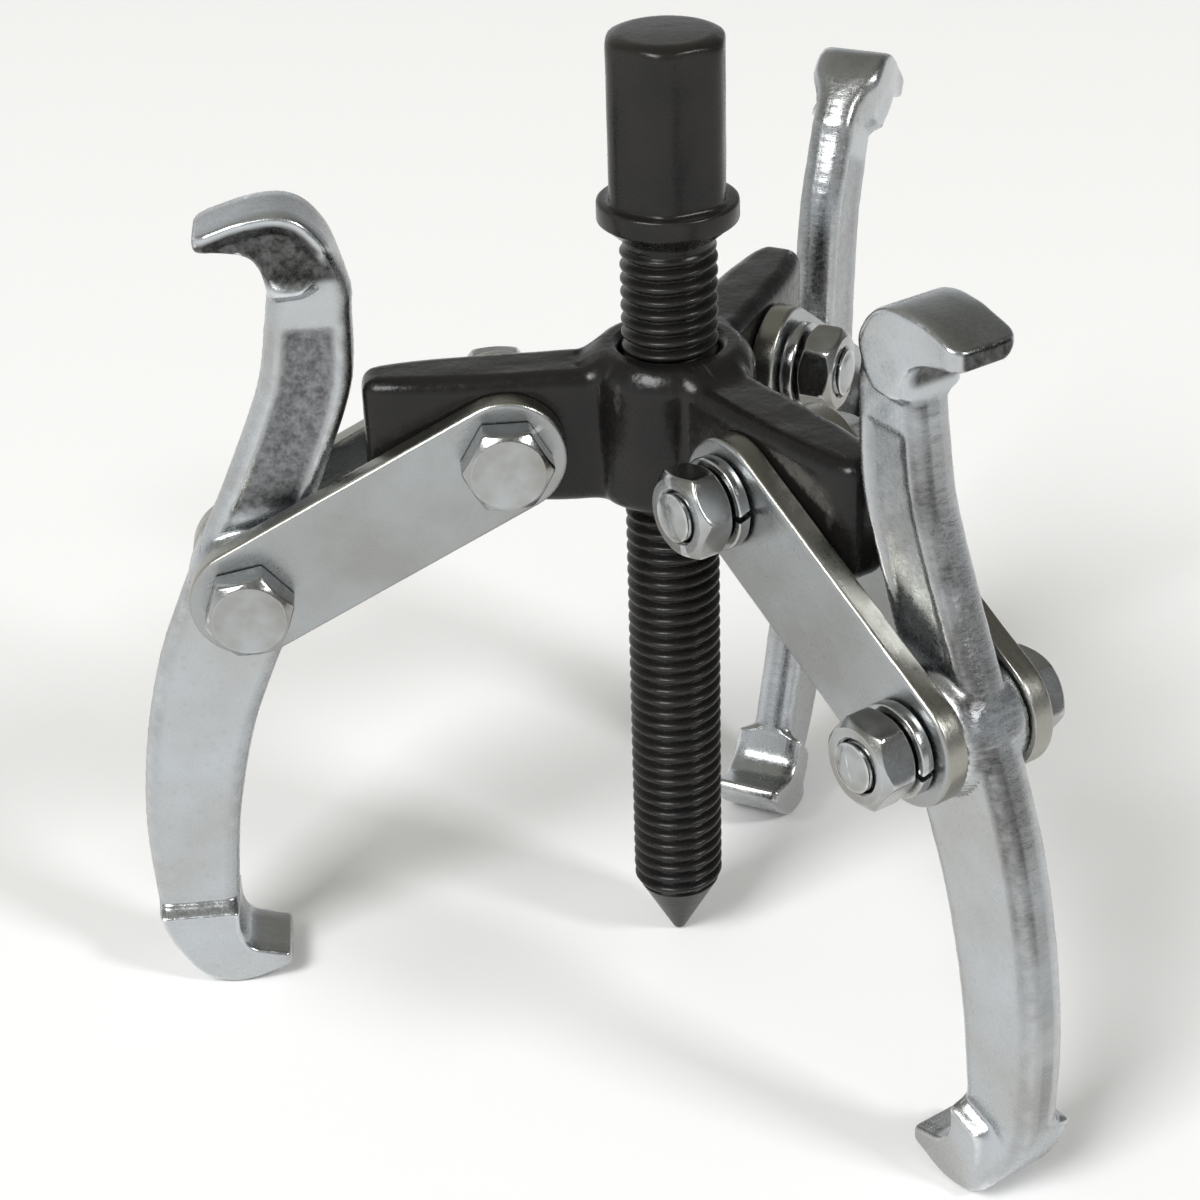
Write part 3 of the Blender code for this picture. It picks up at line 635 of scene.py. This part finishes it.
def makeScrew():
    # a helix whose radius is the smaller of the thread and the point's cone, then the flange and the head
    shape = screwShape
    cols, perPitch, pitch, thick = (shape[key] for key in ("columns", "rowsPerPitch", "pitch", "radius"))
    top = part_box("forcing_screw")[1].z / mm
    seat = top - shape["headHeight"]
    rim = seat - shape["rimHeight"]
    foot = rim - shape["coneHeight"]
    turns = int(math.ceil(foot / pitch)) + 3
    step = np.arange(turns * perPitch + 1)
    share = step / perPitch
    column = np.arange(cols)
    angle = math.radians(shape["headTurn"]) + tau * column / cols
    z = np.clip(pitch * (share[:, None] - 2.0 + column[None, :] / cols), 0.0, foot)
    fade = 1.0 - smoothStep(foot - 1.6, foot - 0.5, z)
    cut = shape["threadDepth"] * threadDepthAt(share)[:, None] * fade
    cut = cut + (1.0 - fade) * shape["runOut"]
    cone = shape["pointFlat"] + (thick - shape["pointFlat"]) * z / shape["pointLength"]
    thread = polar(np.minimum(thick - cut, cone), angle[None, :], z)
    rows = len(step)
    # each turn of the helix closes on the next one, a pitch further up
    row, col = np.meshgrid(np.arange(rows - 1), column, indexing="ij")
    nextCol = (col + 1) % cols
    lift = np.where(col == cols - 1, perPitch, 0)
    low = np.minimum(row + lift, rows - 1)
    high = np.minimum(row + 1 + lift, rows - 1)
    corners = [row * cols + col, low * cols + nextCol, high * cols + nextCol, (row + 1) * cols + col]
    faces = np.stack(corners, axis=-1).reshape(-1, 4)

    # cone under the flange, its rim, then the hexagon head with a domed top
    flange, dome, crown = shape["flangeRadius"], shape["topRound"], shape["crown"]
    hexagon = hexRadius(angle - math.radians(shape["headTurn"]), shape["acrossFlats"], shape["crispness"])
    lathe = [(thick - 0.3, foot + 0.05), (thick + 0.25, foot + 0.35), (flange - 0.40, rim - 0.12),
             (flange - 0.18, rim - 0.02), (flange - 0.05, rim + 0.10), (flange, rim + 0.30),
             (flange, seat - 0.40), (flange - 0.06, seat - 0.18), (flange - 0.22, seat - 0.05),
             (flange - 0.45, seat), (hexagon + 0.35, seat + 0.02), (hexagon + 0.08, seat + 0.22)]
    stack = [polar(r, angle, h) for r, h in lathe]
    stack += [polar(hexagon, angle, seat + 0.6 + h) for h in np.linspace(0.0, shape["headHeight"] - 3.6, 18)]
    for turn in np.linspace(0.06, 1.0, 14) * math.pi / 2.0:
        limit = 0.5 * shape["acrossFlats"] + 1.15 - dome * 1.15 * (1.0 - math.cos(turn))
        height = top - crown - dome * (1.0 - math.sin(turn))
        stack.append(polar(softMin(hexagon, limit, 0.7), angle, height))
    last = np.hypot(stack[-1][:, 0], stack[-1][:, 1])
    stack += [polar(last * k, angle, top - crown + crown * (1.0 - k ** 2))
              for k in np.linspace(1.0, 0.06, 10)[1:]]
    local = np.vstack([thread.reshape(-1, 3), np.array(stack).reshape(-1, 3)])
    faces = np.vstack([faces, gridFaces(len(stack) + 1, cols, False) + (rows - 1) * cols])
    x, y, height = local[:, 0], local[:, 1], local[:, 2]
    onHead = smoothStep(foot, rim, height)
    swell = 1.0 - shape["swell"] * onHead * (0.5 + 0.5 * lumps(x, y, height, 8.0, 11))
    local[:, :2] *= swell[:, None]
    ends = [ringIndex(0, cols), ringIndex(len(local) // cols - 1, cols)]
    piece = makePiece("threadedScrew", local, faces, ends, Matrix.Identity(4), screwBlack,
                      sharp=58.0, merge=2e-6)
    finish(piece, "screw", ["forcing_screw"])


makeScrew()
print("screw made")


strapShape = {
    "halfWidth": 7.5, "halfThickness": 1.5, "offset": 6.5, "rolledEdge": 0.55, "burr": 0.18,
    "holeRadius": 3.15, "ripple": 0.02, "rippleSize": 14.0,
}


def makeStrap(arm, side, sideName):
    # stadium outline; its outer face rolls over at the edge, its inner face keeps a crisp one
    shape = strapShape
    straps, _, length, _ = armPlaces(arm)
    half, thick, roll, burr = (shape[key] for key in ("halfWidth", "halfThickness", "rolledEdge", "burr"))
    arc = np.linspace(-math.pi / 2.0, math.pi / 2.0, 49)
    straight = np.linspace(0.0, 1.0, 41)[1:-1]
    level, flat = np.zeros(len(arc)), np.full(len(straight), math.pi / 2.0)
    centreX = np.concatenate([level + length, length * (1.0 - straight), level, length * straight])
    facing = np.concatenate([arc, flat, arc + math.pi, -flat])
    profile = [(k, thick) for k in (1.6, 3.2, 4.8, half - 1.4 * roll)]
    turn = np.linspace(0.0, math.pi / 2.0, 8)
    profile += [(half - roll + roll * math.sin(a), thick - roll + roll * math.cos(a)) for a in turn]
    profile += [(half, 0.3), (half, -0.4), (half, -0.9)]
    profile += [(half - burr + burr * math.cos(a), -thick + burr - burr * math.sin(a)) for a in turn[::2]]
    profile += [(k, -thick) for k in (half - 1.2, 4.8, 3.2, 1.6)]
    reach, z = np.array([(0.0, thick), *profile, (0.0, -thick)]).T[..., None]
    x = centreX[None, :] + reach * np.cos(facing)[None, :]
    grid = np.stack([x, reach * np.sin(facing)[None, :], np.broadcast_to(z * side, x.shape)], axis=-1)
    grid[..., 2] -= side * shape["ripple"] * lumps(grid[..., 0], grid[..., 1], 0.0, shape["rippleSize"], 21)
    cut = np.broadcast_to(smoothStep(half - 0.35, half - 0.1, reach), x.shape).ravel()
    matrix = straps @ Matrix.Translation((0.0, 0.0, side * shape["offset"] * mm))
    name = f"{arm}Strap{sideName.capitalize()}"
    piece = makeRings(name, grid, "open", matrix, strapZinc, masks={"cut": cut}, merge=1e-6)
    cleanMesh(piece.data, 2e-6)
    cutHoles(piece, [(matrix @ Matrix.Translation((at * mm, 0.0, 0.0)), shape["holeRadius"], thick + 1.0)
                     for at in (0.0, length)])
    finish(piece, f"{arm}_link", [f"{arm}_strap_{sideName}"])


for armName in arms:
    makeStrap(armName, 1, "front")
    makeStrap(armName, -1, "back")
print("straps made")


fastener = {
    "columns": 96, "acrossFlats": 9.95, "crispness": 60.0, "chamfer": 0.40, "chamferSlope": 1.25,
    "shankRadius": 2.96, "threadPitch": 1.0, "threadDepth": 0.28, "headSeat": 8.3, "headHeight": 4.0,
    "strapFace": 8.3, "washerThickness": 1.35, "washerRadius": 5.65, "washerBore": 3.2, "nutBore": 3.06,
    "nutHeight": 4.75, "endProud": 1.0, "gap": 0.3, "jawTurn": -11.0, "split": 9.0,
}
around = np.linspace(0.0, tau, fastener["columns"], endpoint=False)


def hexStack(low, high, lowRound, highRound):
    # a hexagon between two heights, its corners cut by a cone at each end that is rounded
    tall, band, flats = high - low, 0.9, fastener["acrossFlats"]
    heights = np.concatenate([np.linspace(0.0, band, 12), np.linspace(band, tall - band, 6)[1:-1],
                              np.linspace(tall - band, tall, 12)])
    rows = []
    for h in heights:
        r = hexRadius(around, flats, fastener["crispness"])
        for rounded, inside in ((lowRound, h), (highRound, tall - h)):
            if rounded:
                r = softMin(r, 0.5 * flats - fastener["chamfer"] + fastener["chamferSlope"] * inside, 0.16)
        rows.append(polar(r, around, low + h))
    return rows


def washerFar():
    # strap face, one gap and the washer
    return fastener["strapFace"] + fastener["gap"] + fastener["washerThickness"]


def nutFar():
    # the washer's far side, one gap and the nut
    return washerFar() + fastener["gap"] + fastener["nutHeight"]


def boltRings():
    # head at +Z, shank, then the threaded end with a small dome at -Z
    seat, far, face = fastener["headSeat"], nutFar() + fastener["endProud"], fastener["strapFace"]
    shank, top = fastener["shankRadius"], seat + fastener["headHeight"] - 0.1
    rows = [polar(r, around, -far + h)
            for r, h in ((0.5, 0.0), (1.2, 0.03), (1.8, 0.10), (2.25, 0.22), (2.55, 0.40))]
    for z in np.arange(-far + 0.5, -face + 0.4, 0.115):
        groove = 0.5 - 0.5 * np.cos(tau * z / fastener["threadPitch"] - around)
        fade = smoothStep(-far + 0.45, -far + 0.9, z) * (1.0 - smoothStep(-face - 0.6, -face, z))
        rows.append(polar(shank - fastener["threadDepth"] * groove * fade, around, z))
    rows += [polar(shank, around, z) for z in np.linspace(-face + 0.6, seat - 0.3, 8)]
    rows += [polar(shank + 0.15, around, seat), polar(4.3, around, seat)]
    rows += hexStack(seat, top, False, True)
    last = np.hypot(rows[-1][:, 0], rows[-1][:, 1])
    return rows + [polar(last * k, around, top + (0.08 - drop)) for k, drop in
                   ((0.975, 0.03), (0.94, 0.07), (0.90, 0.10), (0.6, 0.09), (0.3, 0.08), (0.08, 0.08))]


def nutRings():
    # hexagon cut by a cone at both ends, countersunk bore
    near, far, bore = -(washerFar() + fastener["gap"]), -nutFar(), fastener["nutBore"]
    lathe = [(4.4, near), (bore + 0.55, near), (bore, near - 0.5)]
    lathe += [(bore, z) for z in np.linspace(near - 0.5, far + 0.5, 5)[1:]]
    lathe += [(bore + 0.18, far + 0.2), (bore + 0.42, far + 0.02), (bore + 0.7, far), (4.2, far)]
    return hexStack(far, near, True, True) + [polar(r, around, z) for r, z in lathe]


def washerRings():
    # a rounded square section swept round the bolt, split by a slanted gap
    near, far, corner, lean = -(fastener["strapFace"] + 0.05), -washerFar(), 0.25, 0.10
    inner, outer = fastener["washerBore"] + corner, fastener["washerRadius"] - corner
    section = []
    for x, z, start in ((outer, far + corner, -0.5), (outer, near - corner, 0.0),
                        (inner, near - corner, 0.5), (inner, far + corner, 1.0)):
        section += [(x + corner * math.cos(start * math.pi + a), z + corner * math.sin(start * math.pi + a))
                    for a in np.linspace(0.0, math.pi / 2.0, 4)]
    radius, z = np.array(section).T[:, None, :]
    gap = math.radians(fastener["split"]) / 2.0
    sweep = np.linspace(gap, tau - gap, 121)[:, None]
    return polar(radius, sweep + (z - near) / (far - near) * lean, z)


kinds = (
    ("Bolt", "bolt", boltRings(), "capped", 32.0, 2e-7),     # rings, ends, sharp angle, joining distance
    ("LockWasher", "lock_washer", washerRings(), "capped", 40.0, 0.0),
    ("Nut", "nut", nutRings(), "joined", 32.0, 2e-7),
)
for armName, arm in arms.items():
    straps, _, length, droop = armPlaces(armName)
    for end, at, extra in (("arm", 0.0, 0.0), ("jaw", length * mm, fastener["jawTurn"])):
        turn = droop + math.radians(arm["boltTurn"] + extra)
        place = straps @ Matrix.Translation((at, 0.0, 0.0)) @ Matrix.Rotation(turn, 4, "Z")
        place = place @ Matrix.Rotation(math.pi, 4, "X")
        for kind, node, rings, ends, sharp, merge in kinds:
            name = f"{armName}{end.capitalize()}{kind}"
            piece = makeRings(name, rings, ends, place, boltZinc, sharp=sharp, merge=merge)
            finish(piece, f"{armName}_link", [f"{armName}_{end}_{node}"])
print("fasteners made")


jawShape = {
    # inner edge and outer edge as (out, up) from the hinge in mm, claw tip first
    "ribs": [
        ((2.6, 47.1), (2.7, 44.5)), ((-4.2, 49.15), (-2.8, 43.7)), ((-9.6, 48.8), (-4.6, 42.0)),
        ((-13.5, 44.8), (-5.3, 39.0)), ((-15.4, 38.8), (-4.9, 36.0)), ((-15.4, 35.5), (-4.5, 33.5)),
        ((-14.7, 25.8), (-2.9, 25.6)), ((-10.9, 15.2), (2.0, 13.7)), ((-7.5, 6.0), (6.0, 5.2)),
        ((-6.6, -3.2), (9.4, -2.6)), ((-2.5, -12.0), (12.8, -11.2)), ((1.5, -22.3), (15.6, -22.4)),
        ((4.4, -34.6), (17.2, -34.8)), ((5.7, -45.2), (17.1, -46.0)), ((5.9, -49.2), (16.6, -50.0)),
        ((5.8, -52.6), (15.0, -54.2)), ((4.6, -54.7), (11.6, -58.9)), ((2.2, -55.5), (6.6, -60.35)),
        ((-0.2, -56.1), (-0.4, -58.2)),
    ],
    "sections": 460, "across": 26, "shankHalf": 3.0, "hookHalf": 4.95, "seamHalf": 1.1, "shoulder": 2.0,
    "hookEdge": 0.7, "clawStep": 37.6, "toeStep": -47.4, "stepLength": 1.9, "flare": 5.5, "toeFlare": 6.5,
    "clawRound": 1.9, "toeRound": 0.9, "tipRound": 0.5, "tipDense": 0.006, "scoop": 1.5, "taper": 0.8,
    "hoodRound": 2.2, "inset": 0.2, "bossRadius": 7.15, "bossHalf": 4.68, "holeRadius": 3.15,
    "panelTop": 34.6, "panelBottom": 8.5, "panelDepth": 0.45, "roughness": 0.035, "roughSize": 6.0,
    "seamProud": 0.10, "wrinkle": 0.03, "wrinkleSize": 1.6, "clawTopShade": 0.28,
}


def jawCurves(shape):
    # even spacing along the middle line, closer by a bell round each step and towards both tips
    inner, outer = (np.array([rib[edge] for rib in shape["ribs"]]) for edge in (0, 1))
    fine = np.linspace(0.0, len(inner) - 1.0, 4000)
    middle = 0.5 * (catmullRom(inner, fine) + catmullRom(outer, fine))
    speed = np.linalg.norm(np.gradient(middle, axis=0), axis=1) + 0.002
    dense = 1.0 + 3.0 * np.exp(-((middle[:, 1] - shape["clawStep"]) / 1.2) ** 2)
    dense += 3.0 * np.exp(-((middle[:, 1] - shape["toeStep"]) / 1.6) ** 2)
    length = np.cumsum(speed)
    near = shape["tipDense"] * length[-1]
    dense += 5.0 * np.exp(-length / near) + 5.0 * np.exp((length - length[-1]) / near)
    u = spacedBy(speed * dense, fine, shape["sections"])
    inner, outer = catmullRom(inner, u), catmullRom(outer, u)
    across = outer - inner
    inset = across * shape["inset"] / np.linalg.norm(across, axis=1, keepdims=True)
    return inner + inset, outer - inset


def stepRise(x, length):
    # from shank to hook: a slow hollow, a steep rise, then a small round edge; x is mm past the step's foot
    t = np.clip(x / length, 0.0, 1.0)
    return np.where(t < 0.45, 0.5 * (t / 0.45) ** 3 * 0.55, 0.275 + 0.725 * smoothStep(0.40, 1.0, t))


def quarterRound(radius, reach):
    # how far a quarter circle of the radius still stands back at this reach from its end
    short = np.clip(radius - reach, 0.0, radius)
    return (radius - np.sqrt(radius ** 2 - short ** 2))[:, None]


def makeJaw(arm):
    # sections across the bar along both edge curves; each has two faces at half the thickness and two seams
    shape = jawShape
    inner, outer = jawCurves(shape)
    spread = 0.5 - 0.5 * np.cos(np.linspace(0.0, math.pi, shape["across"]))
    share = (0.55 * spread + 0.45 * np.linspace(0.0, 1.0, shape["across"]))[None, :]
    width = np.linalg.norm(outer - inner, axis=1)[:, None]
    middle = 0.5 * (inner + outer)
    fromInner, fromEdge = share * width, np.minimum(share, 1.0 - share) * width
    along = np.concatenate([[0.0], np.cumsum(np.linalg.norm(np.diff(middle, axis=0), axis=1))])
    left = along[-1] - along
    tipTaper = quarterRound(shape["clawRound"], along) + quarterRound(shape["toeRound"], left)
    tipInset = quarterRound(shape["tipRound"], along) + quarterRound(shape["tipRound"], left)
    point = inner[:, None, :] + (outer - inner)[:, None, :] * share[..., None]
    point = middle[:, None, :] + (point - middle[:, None, :]) * (1.0 - 2.0 * tipInset / width)[..., None]
    x, y = point[..., 0], point[..., 1]
    above = y > 0.0

    def widened(side):
        # how far each point has grown into the claw above or the toe below
        flare = shape["flare"] * smoothStep(0.40, 1.0, 1.0 - share)
        claw = stepRise(y - shape["clawStep"] + 0.10 * (x + 10.0), shape["stepLength"] + flare)
        lean, reach = 0.0, shape["stepLength"]
        if side > 0:
            lean, reach = -0.35 * (x - 6.0), reach + shape["toeFlare"] * smoothStep(0.45, 0.8, share)
        return np.maximum(claw, stepRise(shape["toeStep"] - y + lean, reach))

    def halfThickness(side):
        # shank thickness, rounded shoulders down to the seam, hooks, sunk panel and hinge boss
        wide, dishShade = widened(side), np.zeros_like(y)
        hook, shank, radius = shape["hookHalf"] - tipTaper, shape["shankHalf"], shape["bossRadius"]
        if side < 0:
            # the claw's dish on the -Z face, kept as a mask for painted shade
            dishShade = smoothStep(39.6, 40.8, y) * smoothStep(0.7, 1.5, fromInner)
            hook = hook - shape["scoop"] * smoothStep(39.2, 42.0, y) * smoothStep(0.7, 3.6, fromInner)
        else:
            hook = hook - shape["taper"] * smoothStep(3.0, 10.0, np.hypot(x + 9.0, y - 42.0)) * (y > 30.0)
        full = shank + (hook - shank) * wide
        hookEdge = shape["hookEdge"] + shape["hoodRound"] * smoothStep(10.0, 17.0, along)[:, None] * above
        seamHalf = shape["seamHalf"] + (full - hookEdge - shape["seamHalf"]) * wide
        shoulder = shape["shoulder"] + (hookEdge - shape["shoulder"]) * wide
        t = np.clip(fromEdge / shoulder, 0.0, 1.0)
        half = seamHalf + (full - seamHalf) * (1.0 - (1.0 - t) ** 2.2) ** (1.0 / 2.2)
        panel = smoothStep(shape["panelBottom"], shape["panelBottom"] + 2.5, y)
        panel = panel * (1.0 - smoothStep(shape["panelTop"] - 1.3, shape["panelTop"], y))
        panel = panel * smoothStep(1.7, 2.9, fromEdge)
        half = half - shape["panelDepth"] * panel
        r = np.hypot(x, y)
        boss = shank + (shape["bossHalf"] - shank) * (1.0 - smoothStep(radius - 0.35, radius + 0.6, r))
        half = np.where(r < radius + 0.6, np.maximum(half, boss), half)
        rough = shape["roughness"] * lumps(x, y, 3.0 * side, shape["roughSize"], 31)
        return half + rough * smoothStep(radius, radius + 2.0, r), panel, dishShade, wide

    frontHalf, frontSunk, frontDishShade, frontWide = halfThickness(1)
    backHalf, backSunk, backDishShade, backWide = halfThickness(-1)

    # around each section: the +Z face from inner to outer, the outer seam, the -Z face back, the inner seam
    seamSteps, seamBulge = np.array([0.6, 0.2, -0.2, -0.6]), np.array([0.6, 1.0, 1.0, 0.6])

    def seamColumns(index, direction):
        # four columns between the faces' edges, pushed out by the seam's height plus its wrinkles
        high, low = frontHalf[:, index], -backHalf[:, index]
        z = 0.5 * (high + low)[:, None] + 0.5 * (high - low)[:, None] * seamSteps[None, ::direction]
        edge = point[:, index]
        outward = (outer - inner) / width * (1.0 if index else -1.0)
        trim = 1.0 - 0.5 * (frontWide[:, index] + backWide[:, index])
        wrinkle = shape["wrinkle"] * lumps(edge[:, 0], edge[:, 1], 0.0, shape["wrinkleSize"], 41 + index)
        push = trim * (shape["seamProud"] + wrinkle)
        place = edge[:, None, :] + outward[:, None, :] * push[:, None, None] * seamBulge[None, :, None]
        return np.concatenate([place, z[..., None]], axis=-1), np.broadcast_to(trim[:, None], z.shape)

    front = np.concatenate([point, frontHalf[..., None]], axis=-1)
    back = np.concatenate([point, -backHalf[..., None]], axis=-1)[:, ::-1]
    outerSeam, outerTrim = seamColumns(-1, 1)
    innerSeam, innerTrim = seamColumns(0, -1)
    grid = np.concatenate([front, outerSeam, back, innerSeam], axis=1)

    def seamMask(wide, onInner, onOuter):
        # the rough slopes beside the seam, darker above the middle of the shank
        weight = np.where(share < 0.5, onInner, onOuter) * (0.25 + 0.75 * smoothStep(-38.0, -12.0, y))
        return (1.0 - smoothStep(0.9, 2.2, fromEdge)) * (1.0 - wide) * weight

    frontSeam, backSeam = seamMask(frontWide, 0.35, 1.0), seamMask(backWide, 0.7, 0.3)[:, ::-1]
    # painted shade on the claw's top, carried in the seam mask with the seam's own darkness
    clawTop = shape["clawTopShade"] * (1.0 - innerTrim) * above[:, :1]
    seamAndShade = np.concatenate([frontSeam, 0.5 * outerTrim, backSeam, 0.25 * innerTrim + clawTop], axis=1)
    none = np.zeros_like(outerTrim)
    sunk = np.concatenate([0.45 * frontSunk, none, backSunk[:, ::-1], none], axis=1)
    # painted shade under the claw along the outer seam, in the dish, and on the claw's end face below
    under = np.repeat(backDishShade[:, -1:], none.shape[1], axis=1)
    dishShade = np.concatenate([frontDishShade, under, backDishShade[:, ::-1], none], axis=1)
    dishShade = np.maximum(dishShade, 1.0 - smoothStep(0.1, 0.3, along)[:, None])
    masks = {"sunk": sunk.ravel(), "seamAndShade": seamAndShade.ravel(), "dishShade": dishShade.ravel()}
    matrix = armPlaces(arm)[1]
    piece = makeRings(f"{arm}ForgedJaw", grid, "capped", matrix, jawZinc, masks=masks, sharp=48.0)
    cutHoles(piece, [(matrix, shape["holeRadius"], shape["bossHalf"] + 1.0)], 48.0)
    finish(piece, f"{arm}_jaw", [f"{arm}_jaw"])


for armName in arms:
    makeJaw(armName)
print("jaws made")


studio = {
    "floorSize": 30.0, "floorColour": (0.94, 0.94, 0.94, 1), "horizon": (0.98, 1.00, 1.02, 1),
    "zenith": (0.34, 0.335, 0.30, 1), "shadeSide": 0.30, "worldStrength": 1.0, "aim": (0.0, 0.0, 0.06),
    "keyPower": 150.0, "keySize": 1.8, "keyPlace": (-2.2, -2.2, 3.3),
    "fillPower": 55.0, "fillSize": 0.7, "fillPlace": (2.4, -1.9, 2.6),
}
view = {
    "azimuth": -4.47, "elevation": 29.69, "roll": -1.84, "distance": 0.3379, "lens": 78.7,
    "target": (-0.0096, 0.0, 0.0525),
}


def makeFloor():
    # one pale square, a fiftieth of a millimetre under the lowest point
    ground = cadBounds[0][2] - 0.02 * mm
    half = studio["floorSize"] / 2.0
    mesh = bpy.data.meshes.new("floor")
    corners = [(-half, -half, ground), (half, -half, ground), (half, half, ground), (-half, half, ground)]
    mesh.from_pydata(corners, [], [(0, 1, 2, 3)])
    floor = bpy.data.objects.new("floor", mesh)
    bpy.context.scene.collection.objects.link(floor)
    material = bpy.data.materials.new("paleFloor")
    material.use_nodes = True
    shader = material.node_tree.nodes["Principled BSDF"]
    shader.inputs["Base Color"].default_value = studio["floorColour"]
    shader.inputs["Roughness"].default_value = 0.9
    shader.inputs["Specular IOR Level"].default_value = 0.1
    mesh.materials.append(material)


def makeWorld():
    # bright round the horizon, darker overhead and towards +X
    world = bpy.data.worlds.new("studio")
    bpy.context.scene.world = world
    world.use_nodes = True
    tree = world.node_tree
    direction = addNode(tree, "ShaderNodeTexCoord").outputs["Generated"]
    parts = addNode(tree, "ShaderNodeSeparateXYZ", {0: direction}).outputs
    height = remap(tree, parts["Z"], 0.10, 0.55, 0.0, 1.0)
    sky = mixColour(tree, height, studio["horizon"], studio["zenith"])
    shade = remap(tree, parts["X"], -0.1, 0.7, 1.0, studio["shadeSide"])
    shaded = addNode(tree, "ShaderNodeVectorMath", {0: sky, "Scale": shade}, operation="SCALE").outputs[0]
    background = tree.nodes["Background"]
    background.inputs["Strength"].default_value = studio["worldStrength"]
    tree.links.new(shaded, background.inputs["Color"])


def addSoftbox(kind):
    # a square lamp at its place, its -Z turned to the aim
    light = bpy.data.lights.new(f"{kind}Softbox", "AREA")
    light.shape = "SQUARE"
    light.size = studio[f"{kind}Size"]
    light.energy = studio[f"{kind}Power"]
    lamp = bpy.data.objects.new(f"{kind}Softbox", light)
    bpy.context.scene.collection.objects.link(lamp)
    place = Vector(studio[f"{kind}Place"])
    lamp.rotation_euler = (Vector(studio["aim"]) - place).to_track_quat("-Z", "Y").to_euler()
    lamp.location = place


def makeCamera():
    # stands back from the target by the distance along azimuth and elevation, then rolls round its own axis
    azimuth, elevation, roll = (math.radians(view[key]) for key in ("azimuth", "elevation", "roll"))
    back = Vector((math.sin(azimuth) * math.cos(elevation), -math.cos(azimuth) * math.cos(elevation),
                   math.sin(elevation)))
    right = Vector((math.cos(azimuth), math.sin(azimuth), 0.0))
    up = back.cross(right)
    basis = Matrix((right, up, back)).transposed().to_4x4() @ Matrix.Rotation(roll, 4, "Z")
    data = bpy.data.cameras.new("camera")
    data.lens = view["lens"]
    data.sensor_width = 36.0
    data.clip_start = 0.01
    camera = bpy.data.objects.new("camera", data)
    bpy.context.scene.collection.objects.link(camera)
    camera.matrix_world = Matrix.Translation(Vector(view["target"]) + back * view["distance"]) @ basis
    bpy.context.scene.camera = camera


makeFloor()
makeWorld()
addSoftbox("key")
addSoftbox("fill")
makeCamera()
bpy.context.scene.view_settings.view_transform = "Standard"
print("floor, light and camera made")
